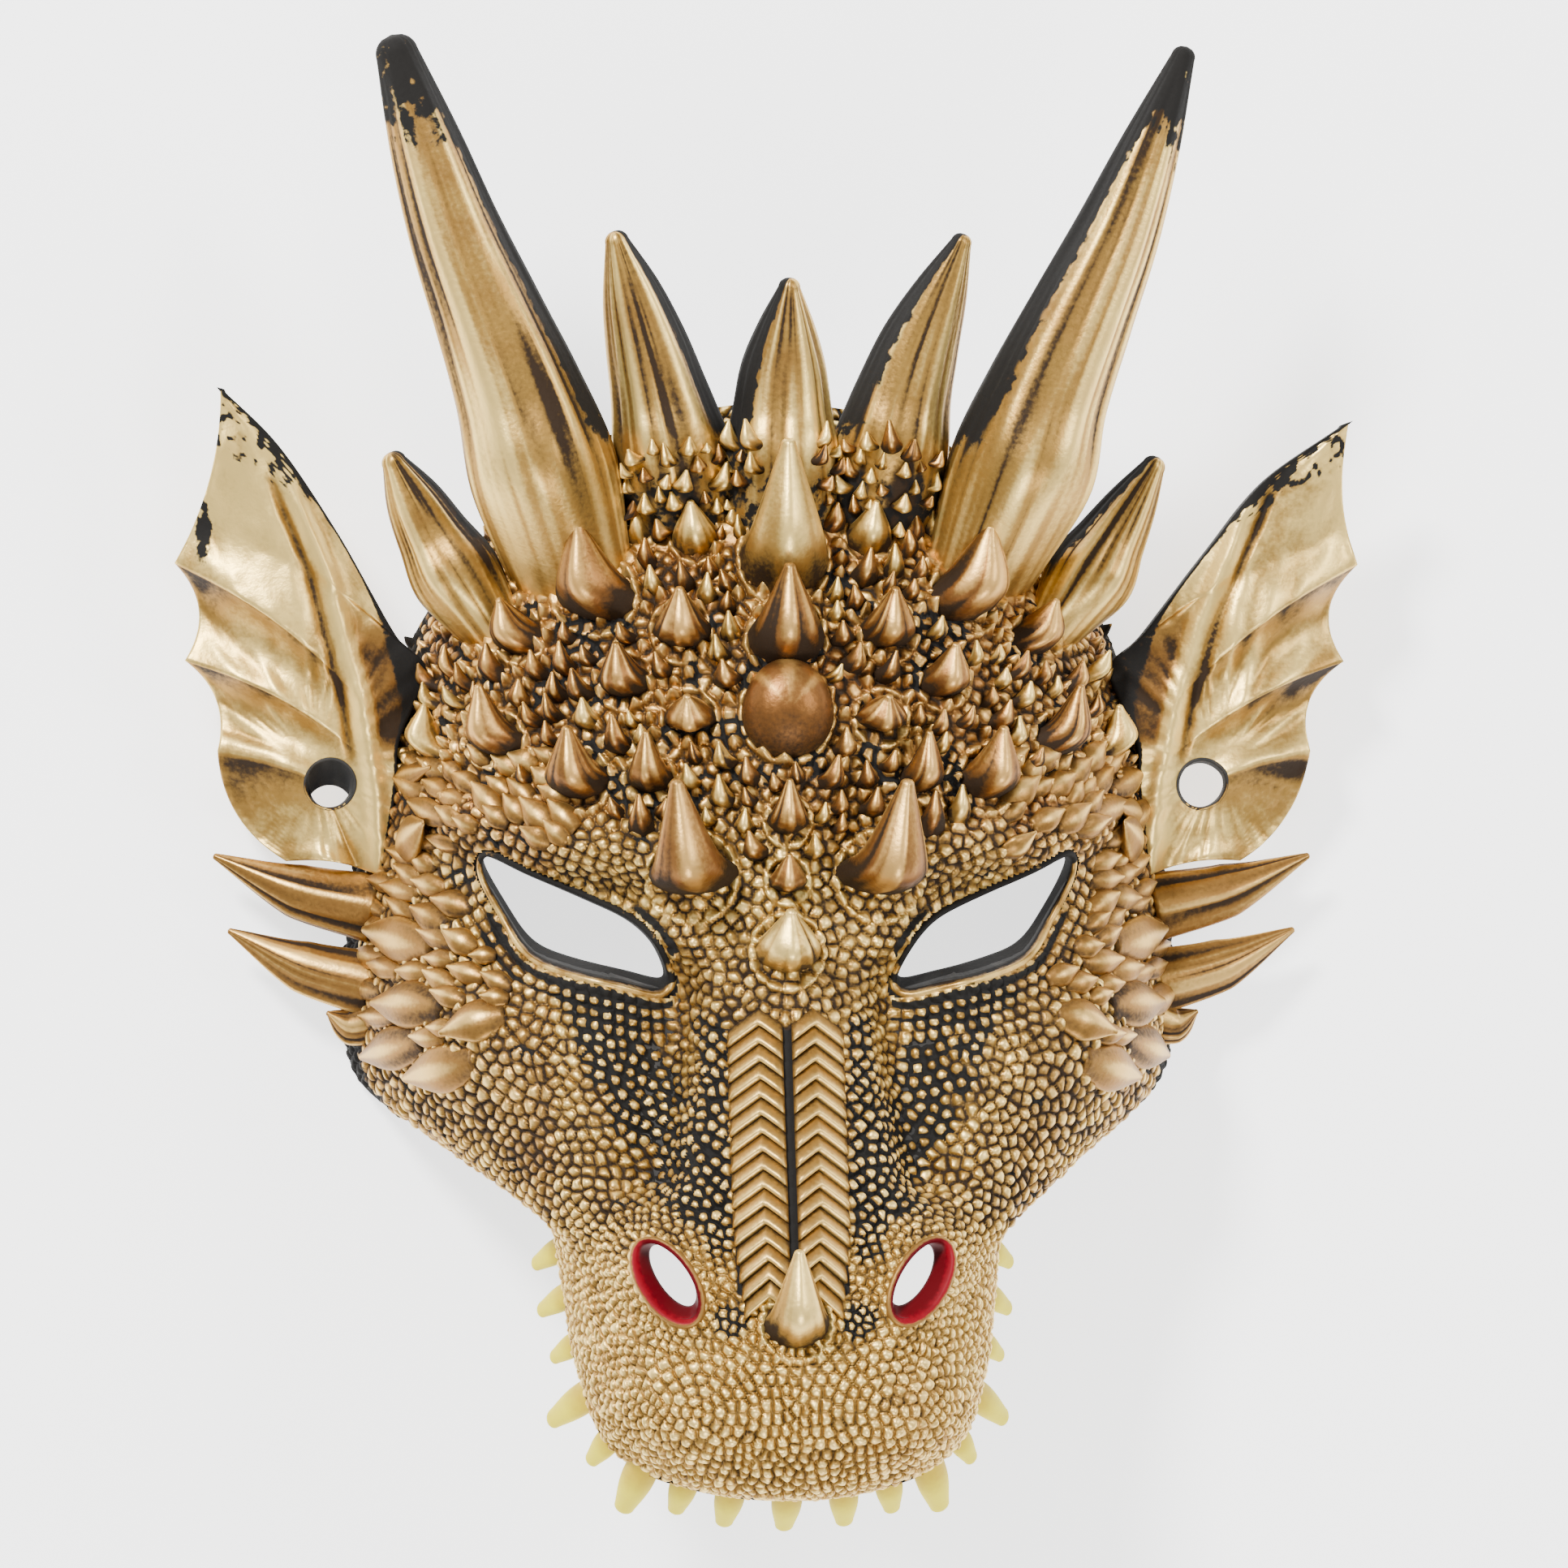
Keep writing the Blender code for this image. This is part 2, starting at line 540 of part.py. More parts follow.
def make_jaw_spikes(collection):
    """The spikes that stand out of the jaw below each ear."""
    for side in (-1, 1):
        for number, (foot, tip, width) in enumerate(JAW_SPIKES):
            foot, tip = np.array(foot) * (side, 1, 1), np.array(tip) * (side, 1, 1)
            middle = (foot + tip) / 2 - np.array([0, SPIKE_SAG, 0])
            name = f"jaw_spike_{'left' if side < 0 else 'right'}_{number + 1}"
            widths = np.array(SPIKE_WIDTHS) * width
            shape = tapered_solid(name, (foot, middle, tip), widths, SPIKE_FORM, UP, SPIKE_RINGS)
            helper(shape, collection)


def lip_line(grid):
    """The edge of the lip from its middle to the last tooth of the right side, in units."""
    columns = grid.shape[1]
    side = grid[::-1, -1][1:]
    return np.concatenate([grid[-1, columns // 2 :], side[side[:, 1] < TEETH_END_Y]])


def make_teeth(grid, collection):
    """The row of teeth that hangs from the lip, round both sides of the snout."""
    line = lip_line(grid)
    tangents = np.gradient(line, axis=0)
    length = np.concatenate([[0], np.cumsum(np.linalg.norm(np.diff(line, axis=0), axis=1))])
    for number, (share, size) in enumerate(TEETH):
        foot, tangent = (
            np.array([np.interp(share * length[-1], length, rows[:, k]) for k in range(3)])
            for rows in (line, tangents)
        )
        outward = np.array([tangent[1], -tangent[0], 0]) / math.hypot(tangent[0], tangent[1])
        if share == 0:
            foot[0], outward = 0.0, np.array([0.0, -1.0, 0.0])
        along = outward * TOOTH_OUT + np.array([0, -TOOTH_BACK * outward[0], -TOOTH_DROP])
        along /= np.linalg.norm(along)
        foot = foot - outward * WALL / UNIT / 2
        start, tip = foot - along * TOOTH_ROOT, foot + along * size * TOOTH_LENGTH / UNIT
        width = TOOTH_WIDTH / UNIT * (TOOTH_EVEN + (1 - TOOTH_EVEN) * size)
        for side in (1,) if share == 0 else (-1, 1):
            mirror = np.array([side, 1, 1])
            line_of_tooth = (start * mirror, (start + tip) / 2 * mirror, tip * mirror)
            name = f"tooth_{'left' if side < 0 else 'right'}_{number + 1}"
            widths = np.array(TOOTH_WIDTHS) * width
            front = outward * mirror
            shape = tapered_solid(name, line_of_tooth, widths, TOOTH_FORM, front, TOOTH_RINGS)
            helper(shape, collection)


def make_bridge_plates(skin, collection):
    """V-shaped plates that overlap down the bridge of the nose."""
    places = np.linspace(BRIDGE_TOP, BRIDGE_BOTTOM, BRIDGE_PLATES)
    length = (places[0] - places[1]) * BRIDGE_COVER
    for number, y in enumerate(places):
        upper, lower = [], []
        for share in (-1, 0, 1):
            for down, lift in zip((0.0, length), BRIDGE_LIFT):
                foot, normal = skin.at(share * BRIDGE_HALF, y - abs(share) * BRIDGE_SLANT - down)
                high = BRIDGE_PLATE_RISE / UNIT * lift * (1 if share else BRIDGE_GROOVE)
                upper.append(foot + normal * high)
                lower.append(foot - normal * BRIDGE_ROOT)
        vertices = np.array(upper + lower) * UNIT
        faces = [(0, 1, 3), (0, 3, 2), (2, 3, 5), (2, 5, 4), (6, 9, 7), (6, 8, 9), (8, 11, 9), (8, 10, 11)]
        rim = [0, 1, 3, 5, 4, 2]
        for a, b in zip(rim, rim[1:] + rim[:1]):
            faces.append((a, a + 6, b + 6))
            faces.append((a, b + 6, b))
        helper(new_object(f"bridge_plate_{number + 1}", vertices, faces), collection)


def prism(name, outline, low, high, collection):
    """A cutter along Z with that outline, in metres."""
    rings = [[(x, y, z) for x, y in outline] for z in (low, high)]
    return ringed_cutter(name, np.array(rings), collection)


def ringed_cutter(name, rings, collection):
    """A cutter through rings of as many points, in metres, with each end closed by a fan."""
    levels, count = rings.shape[:2]
    ends = [rings[0].mean(0), rings[-1].mean(0)]
    vertices = np.concatenate([rings.reshape(-1, 3), ends])
    low_end, high_end, top = levels * count, levels * count + 1, (levels - 1) * count
    faces = []
    for k in range(count):
        following = (k + 1) % count
        faces.append((following, k, low_end))
        faces.append((top + k, top + following, high_end))
        for low in range(0, top, count):
            faces.append((low + k, low + following, low + count + following, low + count + k))
    return helper(new_object(name, vertices, faces), collection)


def hole_cutter(name, front_outline, back_outline, skin, collection):
    """A cutter through the wall, from an outline on the skin to one on the back, both in units."""
    front, back = [], []
    for (x, y), (back_x, back_y) in zip(front_outline, back_outline):
        front.append((x, y, skin.at(x, y)[0][2] + CUT_PAST))
        point, normal = skin.at(back_x, back_y)
        through = WALL / UNIT / max(normal[2], LEAST_SLOPE)
        back.append((back_x, back_y, point[2] - through - CUT_PAST))
    front, back = np.array(front), np.array(back)
    above, below = front.copy(), back.copy()
    above[:, 2] = front[:, 2].max() + CUT_PAST
    below[:, 2] = back[:, 2].min() - CUT_PAST
    return ringed_cutter(name, np.array([below, back, front, above]) * UNIT, collection)


def lidded(outline, lid):
    """The outline with its lower side moved out by the depth of the lid."""
    along = np.roll(outline, -1, axis=0) - np.roll(outline, 1, axis=0)
    out = np.stack([along[:, 1], -along[:, 0]], -1) / np.linalg.norm(along, axis=1, keepdims=True)
    middle = outline.mean(0)
    if ((outline - middle) * out).sum() < 0:
        out = -out
    return outline + out * np.clip(-out[:, 1:] * 1.2, 0, 1) * lid


def ellipse(middle, half_length, half_width, turn, count):
    """An ellipse whose long axis is turned from +Y towards +X."""
    angle = np.arange(count) * 2 * math.pi / count
    along, aside = half_length * np.cos(angle), half_width * np.sin(angle)
    x = middle[0] + along * math.sin(turn) + aside * math.cos(turn)
    y = middle[1] + along * math.cos(turn) - aside * math.sin(turn)
    return np.stack([x, y], -1)


def make_cutters(skin, collection):
    """Cutters for the eye holes, the nostrils, the strap holes and the flat underside."""
    for side in (-1, 1):
        word = "left" if side < 0 else "right"
        eye = closed_curve(EYE_OUTLINE, EYE_SIDES) * (side, 1)
        hole_cutter(f"eye_cutter_{word}", lidded(eye, EYE_LID), eye, skin, collection)
        turn = side * NOSTRIL_TURN
        half_length, half_width = NOSTRIL_LENGTH / 2 / UNIT, NOSTRIL_WIDTH / 2 / UNIT
        middle = (side * NOSTRIL_OUT / UNIT, NOSTRIL_Y)
        rim = ellipse(middle, half_length, half_width, turn, ROUND_SIDES)
        inner = (middle[0] + side * NOSTRIL_LEAN[0], middle[1] + NOSTRIL_LEAN[1])
        taper = NOSTRIL_TAPER
        through = ellipse(inner, half_length * taper, half_width * taper, turn, ROUND_SIDES)
        hole_cutter(f"nostril_cutter_{word}", rim, through, skin, collection)
        radius = STRAP_HOLE_DIAMETER / 2
        hole = ellipse((side * STRAP_HOLE_OUT, 0.0), radius, radius, 0.0, ROUND_SIDES)
        prism(f"strap_cutter_{word}", hole, 2 * UNIT, 100 * UNIT, collection)
    reach = 200 * UNIT
    square = ((-reach, -reach), (reach, -reach), (reach, reach), (-reach, reach))
    prism("floor_cutter", square, -60 * UNIT, 0.0, collection)


def boolean(obj, operation, collection):
    """Joins to the object, or cuts from it, everything in the collection."""
    modifier = obj.modifiers.new(f"{operation.lower()} {collection.name}", "BOOLEAN")
    modifier.operation = operation
    modifier.operand_type = "COLLECTION"
    modifier.collection = collection
    modifier.solver = "EXACT"


def new_collection(name):
    """A collection for the helpers of one Boolean, left out of the render."""
    collection = bpy.data.collections.new(name)
    bpy.context.scene.collection.children.link(collection)
    return collection


def paint():
    """Aged gold paint over the foam."""
    material = bpy.data.materials.new("aged_gold_paint")
    material.use_nodes = True
    shader = material.node_tree.nodes["Principled BSDF"]
    shader.inputs["Base Color"].default_value = (*PAINT, 1)
    shader.inputs["Roughness"].default_value = 0.38
    shader.inputs["Metallic"].default_value = 0.75
    return material


def make_mask():
    """The mask: a carved shell, with everything that stands out of it moulded on in one piece."""
    grid = face_grid(SHELL_ROWS, SHELL_COLUMNS)
    skin = Skin(grid)
    mask = sheet_solid("mask", grid, grid - softened(normals_of(grid)) * WALL / UNIT)
    thin = mask.modifiers.new("fewer faces", "DECIMATE")
    thin.ratio = SHELL_TRIANGLES / (4 * (SHELL_ROWS - 1) * (SHELL_COLUMNS - 1))
    moulded = new_collection("moulded_on")
    make_horns(skin, moulded)
    make_ears(moulded)
    make_jaw_spikes(moulded)
    make_thorns(skin, moulded)
    make_cheek_scales(skin, moulded)
    make_bridge_plates(skin, moulded)
    make_teeth(grid, moulded)
    boolean(mask, "UNION", moulded)
    cutters = new_collection("cutters")
    make_cutters(skin, cutters)
    boolean(mask, "DIFFERENCE", cutters)
    mask.data.materials.append(paint())


def main():
    """Clears the scene and models the mask."""
    clear_scene()
    make_mask()


main()
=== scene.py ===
"""Dresses the dragon mask: a skin of gold-painted scales over black foam, with horns, ears, thorns and teeth.

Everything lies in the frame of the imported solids, in metres: X across the face, Y up it and Z out of it.
The forms are worked out in millimetres of the full-size mask, from the same named sizes as its solids.
"""

import itertools
import logging
import math
from dataclasses import dataclass, field, replace
from enum import Enum

import bmesh
import bpy
import numpy as np
from mathutils import Matrix, Vector
from mathutils.bvhtree import BVHTree
from mathutils.kdtree import KDTree


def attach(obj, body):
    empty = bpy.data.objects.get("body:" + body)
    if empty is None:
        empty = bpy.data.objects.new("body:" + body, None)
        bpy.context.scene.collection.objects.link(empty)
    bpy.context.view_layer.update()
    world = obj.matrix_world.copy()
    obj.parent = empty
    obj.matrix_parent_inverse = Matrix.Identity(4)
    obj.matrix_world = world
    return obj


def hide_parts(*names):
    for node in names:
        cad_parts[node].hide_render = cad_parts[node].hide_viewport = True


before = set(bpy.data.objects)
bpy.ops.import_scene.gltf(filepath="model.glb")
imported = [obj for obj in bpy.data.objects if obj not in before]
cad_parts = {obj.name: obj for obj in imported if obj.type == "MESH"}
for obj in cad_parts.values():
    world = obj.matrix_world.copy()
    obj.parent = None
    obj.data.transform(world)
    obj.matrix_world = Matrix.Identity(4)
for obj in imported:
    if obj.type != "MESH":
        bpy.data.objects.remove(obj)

LOG = logging.getLogger("dragon_mask")
MM = 0.001
CORNERS = ((-1, -1), (1, -1), (1, 1), (-1, 1))
Array = np.ndarray
Place = tuple[float, float]
Point = tuple[float, float, float]


class Side(Enum):
    """The two halves of the face, as the sign of X."""

    LEFT = -1
    RIGHT = 1

    @property
    def word(self) -> str:
        """Gives its word in the names of pieces."""
        return self.name.lower()

    @property
    def mirror(self) -> Array:
        """Gives the factors that carry a point of the right half over to this side."""
        return np.array([self.value, 1, 1])


class Slot(Enum):
    """Names of the mask's material slots."""

    GOLD = "gold_painted_foam"
    COPPER = "copper_painted_foam"
    BLACK = "black_foam"
    TOOTH = "tooth_paint"
    NOSTRIL = "nostril_paint"


# Curves, noise and meshes that every piece shares.


def smooth_step(low: float, high: float, value: Array) -> Array:
    """Eases values from 0 at the low limit to 1 at the high one.

    Args:
        low: value that gives 0.
        high: value that gives 1.
        value: the values.

    Returns:
        The eased values.
    """
    t = np.clip((np.asarray(value, float) - low) / (high - low), 0, 1)
    return t * t * (3 - 2 * t)


def peak(value: Array, middle: float, width: float | Array) -> Array:
    """Gives 1 at the middle, and falls off smoothly on both sides of it."""
    return np.exp(-(((value - middle) / width) ** 2))


def catmull(points: Array, at: Array) -> Array:
    """Finds places on a smooth curve through rows of numbers.

    Args:
        points: the rows that the curve passes through.
        at: places along the curve, counted in rows.

    Returns:
        One row of numbers for each place.
    """
    points = np.asarray(points, float)
    at = np.clip(np.asarray(at, float), 0, len(points) - 1)
    first = np.minimum(at.astype(int), len(points) - 2)
    t = (at - first)[:, None]
    padded = np.vstack([2 * points[0] - points[1], points, 2 * points[-1] - points[-2]])
    a, b, c, d = (padded[first + k] for k in range(4))
    return 0.5 * (2 * b + (c - a) * t + (2 * a - 5 * b + 4 * c - d) * t**2 + (3 * b - a - 3 * c + d) * t**3)


def closed_curve(points: Array, count: int) -> Array:
    """Draws a smooth closed curve.

    Args:
        points: the points that it passes through.
        count: how many points to give back.

    Returns:
        That many points along the curve.
    """
    points = np.asarray(points, float)
    wrapped = np.vstack([points[-1:], points, points[:2]])
    return catmull(wrapped, 1 + np.arange(count) * len(points) / count)


def unit(vectors: Array) -> Array:
    """Gives vectors the length 1."""
    vectors = np.asarray(vectors, float)
    return vectors / np.maximum(np.linalg.norm(vectors, axis=-1, keepdims=True), 1e-9)


def value_noise(points: Array, size: float, seed: int) -> Array:
    """Smooth random values over space.

    Args:
        points: where to read it, one row of three numbers each.
        size: distance between two random values.
        seed: picks the pattern.

    Returns:
        One value from -1 to 1 for each point.
    """
    scaled = np.asarray(points, float) / size + seed * 17.31
    cell = np.floor(scaled).astype(np.int64)
    t = scaled - cell
    t = t * t * (3 - 2 * t)
    total = np.zeros(len(scaled))
    for corner in range(8):
        offset = np.array([corner & 1, corner >> 1 & 1, corner >> 2 & 1])
        key = (cell + offset) @ np.array([73856093, 19349663, 83492791]) + seed * 2654435
        key = (key ^ (key >> 13)) * 1274126177 & 0xFFFFFFFF
        weight = np.prod(np.where(offset, t, 1 - t), axis=1)
        total += weight * ((key >> 8 & 0xFFFF) / 32767.5 - 1)
    return total


def grid_normals(grid: Array) -> Array:
    """Finds the outward unit normals of a grid whose rows run down the face and columns across it."""
    return unit(np.cross(np.gradient(grid, axis=1), -np.gradient(grid, axis=0)))


def softened(normals: Array, rounds: int) -> Array:
    """Evens out a grid of normals over their neighbours.

    Args:
        normals: rows by columns of normals.
        rounds: how many times to even them out.

    Returns:
        Rows by columns of unit normals.
    """
    for _ in range(rounds):
        for axis in (0, 1):
            spread = np.concatenate([normals.take([0], axis), normals, normals.take([-1], axis)], axis)
            low, high = np.arange(normals.shape[axis]), np.arange(normals.shape[axis]) + 2
            normals = (spread.take(low, axis) + 2 * normals + spread.take(high, axis)) / 4
    return unit(normals)


def evened(rows: Array) -> Array:
    """Adds each row's two neighbours, round a closed line, to twice the row."""
    return np.roll(rows, 1, 0) + 2 * rows + np.roll(rows, -1, 0)


def grid_quads(rows: int, columns: int, closed: bool = False) -> Array:
    """Lists the faces of a grid of points.

    Args:
        rows: rows of points.
        columns: points in a row.
        closed: whether the last column joins the first.

    Returns:
        One row of four point numbers for each face.
    """
    index = np.arange(rows * columns).reshape(rows, columns)
    if closed:
        index = np.concatenate([index, index[:, :1]], axis=1)
    return np.stack([index[:-1, :-1], index[1:, :-1], index[1:, 1:], index[:-1, 1:]], -1).reshape(-1, 4)


@dataclass
class Form:
    """A mesh in the making: its points in millimetres, its faces, and what the paint reads at each point."""

    points: Array
    faces: list[tuple[int, ...]]
    paint: dict[str, Array] = field(default_factory=dict)

    @classmethod
    def merged(cls, forms: list["Form"]) -> "Form":
        """Puts forms that hold the same paint values into one mesh.

        Args:
            forms: the forms.

        Returns:
            A form with the points and faces of all.
        """
        starts = np.cumsum([0] + [len(form.points) for form in forms]).tolist()
        faces = [tuple(k + start for k in face) for start, form in zip(starts, forms) for face in form.faces]
        paint = {name: np.concatenate([form.paint[name] for form in forms]) for name in forms[0].paint}
        return cls(np.concatenate([form.points for form in forms]), faces, paint)


def sheet_form(front: Array, back: Array, paint: dict[str, Array] | None = None) -> Form:
    """Closes the space between two grids of points.

    Args:
        front: rows by columns of points of the outer face.
        back: as many points of the inner face.
        paint: paint values of the front, rows by columns each, which the back shares.

    Returns:
        The closed form.
    """
    rows, columns = front.shape[:2]
    index = np.arange(rows * columns).reshape(rows, columns)
    quads = grid_quads(rows, columns)
    behind = quads[:, ::-1] + rows * columns
    edge = np.concatenate([index[0, :-1], index[:-1, -1], index[-1, :0:-1], index[:0:-1, 0]])
    after = np.roll(edge, -1)
    sides = np.stack([edge, after, after + rows * columns, edge + rows * columns], -1)
    points = np.concatenate([front.reshape(-1, 3), back.reshape(-1, 3)])
    faces = [tuple(face) for face in np.concatenate([quads, behind, sides]).tolist()]
    values = {name: np.tile(value.reshape(-1), 2) for name, value in (paint or {}).items()}
    return Form(points, faces, values)


def rings_form(rings: Array, root: Array, tip: Array, paint: dict[str, Array] | None = None) -> Form:
    """Closes a horn of rings with a point at each end.

    Args:
        rings: rings by sides of points.
        root: the point that closes the first ring.
        tip: the point that closes the last ring.
        paint: paint values, rings by sides each.

    Returns:
        The closed form.
    """
    count, sides = rings.shape[:2]
    points = np.concatenate([rings.reshape(-1, 3), [root], [tip]])
    faces = [tuple(face) for face in grid_quads(count, sides, closed=True)[:, ::-1].tolist()]
    last = (count - 1) * sides
    for k in range(sides):
        following = (k + 1) % sides
        faces.append((count * sides, following, k))
        faces.append((last + k, last + following, count * sides + 1))
    values = {}
    for name, value in (paint or {}).items():
        values[name] = np.concatenate([value.reshape(-1), [value[0].mean()], [value[-1].mean()]])
    return Form(points, faces, values)


def loop_form(rings: Array, paint: dict[str, Array] | None = None) -> Form:
    """Closes a ring-shaped piece: its cross-sections follow one another round a hole.

    Args:
        rings: sections by points of each section.
        paint: paint values, sections by points each.

    Returns:
        The closed form.
    """
    sections, around = rings.shape[:2]
    index = np.arange(sections * around).reshape(sections, around)
    a, b = index, np.roll(index, -1, axis=1)
    c, d = np.roll(b, -1, axis=0), np.roll(index, -1, axis=0)
    faces = [tuple(face) for face in np.stack([a, b, c, d], -1).reshape(-1, 4).tolist()]
    values = {name: value.reshape(-1) for name, value in (paint or {}).items()}
    return Form(rings.reshape(-1, 3), faces, values)


def new_object(name: str, form: Form, closed: bool = True) -> bpy.types.Object:
    """Makes a form into an object.

    Args:
        name: its name.
        form: its points in millimetres, and its faces.
        closed: whether it is a closed body, whose faces are then turned to point out.

    Returns:
        The object, in the scene.
    """
    mesh = bpy.data.meshes.new(name)
    mesh.from_pydata((form.points * MM).tolist(), [], form.faces)
    if closed:
        shaped = bmesh.new()
        shaped.from_mesh(mesh)
        bmesh.ops.recalc_face_normals(shaped, faces=shaped.faces)
        shaped.to_mesh(mesh)
        shaped.free()
    made = bpy.data.objects.new(name, mesh)
    bpy.context.scene.collection.objects.link(made)
    return made


def add_piece(
    name: str, form: Form, material: bpy.types.Material, closed: bool = True
) -> bpy.types.Object:
    """Makes a form into a piece of the mask.

    Args:
        name: the piece's name.
        form: its points in millimetres, faces and paint values.
        material: its finish.
        closed: whether it is a closed body.

    Returns:
        The piece, riding on the mask's body.
    """
    piece = new_object(name, form, closed)
    mesh = piece.data
    for key, values in form.paint.items():
        attribute = mesh.attributes.new(key, "FLOAT", "POINT")
        attribute.data.foreach_set("value", np.asarray(values, np.float32))
    mesh.polygons.foreach_set("use_smooth", np.ones(len(mesh.polygons), bool))
    mesh.materials.append(material)
    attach(piece, "root")
    LOG.info("%s: %d faces", name, len(mesh.polygons))
    return piece


def hidden_body(name: str, form: Form) -> bpy.types.Object:
    """Makes a form into a body that pieces are cut with, left out of the picture.

    Args:
        name: the body's name.
        form: its points in millimetres and its faces.

    Returns:
        The body.
    """
    body = new_object(name, form)
    body.hide_render = True
    return body


def cutter(name: str, outline: Array, low: float, high: float) -> bpy.types.Object:
    """Makes a body that cuts a hole straight along Z.

    Args:
        name: the body's name.
        outline: the hole's outline, as rows of x and y.
        low: height of its lower end.
        high: height of its upper end.

    Returns:
        The body.
    """
    rings = np.array([np.column_stack([outline, np.full(len(outline), height)]) for height in (low, high)])
    return hidden_body(name, rings_form(rings, rings[0].mean(0), rings[1].mean(0)))


def pierced(piece: bpy.types.Object, cutters: list[bpy.types.Object]) -> None:
    """Cuts bodies out of a piece and clears them away.

    Args:
        piece: the piece.
        cutters: the bodies to cut with.
    """
    for body in cutters:
        modifier = piece.modifiers.new(body.name, "BOOLEAN")
        modifier.operation = "DIFFERENCE"
        modifier.object = body
        modifier.solver = "EXACT"
    bpy.context.view_layer.update()
    graph = bpy.context.evaluated_depsgraph_get()
    mesh = bpy.data.meshes.new_from_object(piece.evaluated_get(graph))
    piece.modifiers.clear()
    material = piece.data.materials[0]
    piece.data = mesh
    mesh.materials.clear()
    mesh.materials.append(material)
    mesh.name = piece.name
    for body in cutters:
        bpy.data.objects.remove(body)


# The carved form of the face.


@dataclass(frozen=True)
class Swell:
    """A broad mound or hollow, the same on both sides of the face."""

    rise: float
    middle: Place
    half_length: float
    half_width: float
    turn: float

    def at(self, x: Array, y: Array) -> Array:
        """Gives its height at places on the right half.

        Args:
            x: distances from the middle line.
            y: distances up the face.

        Returns:
            The heights.
        """
        turn = math.radians(self.turn)
        dx, dy = x - self.middle[0], y - self.middle[1]
        along = (dx * math.cos(turn) + dy * math.sin(turn)) / self.half_length
        aside = (-dx * math.sin(turn) + dy * math.cos(turn)) / self.half_width
        return self.rise * np.clip(1 - along**2 - aside**2, 0, 1) ** 2


@dataclass(frozen=True)
class Ridge:
    """A long soft ridge or groove, the same on both sides of the face."""

    rise: float
    start: Place
    end: Place
    half_width: float

    def at(self, x: Array, y: Array) -> Array:
        """Gives its height at places on the right half.

        Args:
            x: distances from the middle line.
            y: distances up the face.

        Returns:
            The heights.
        """
        (sx, sy), (ex, ey) = self.start, self.end
        share = ((x - sx) * (ex - sx) + (y - sy) * (ey - sy)) / ((ex - sx) ** 2 + (ey - sy) ** 2)
        share = np.clip(share, 0, 1)
        distance = np.hypot(x - sx - share * (ex - sx), y - sy - share * (ey - sy))
        return self.rise * np.clip(1 - (distance / self.half_width) ** 2, 0, 1) ** 2


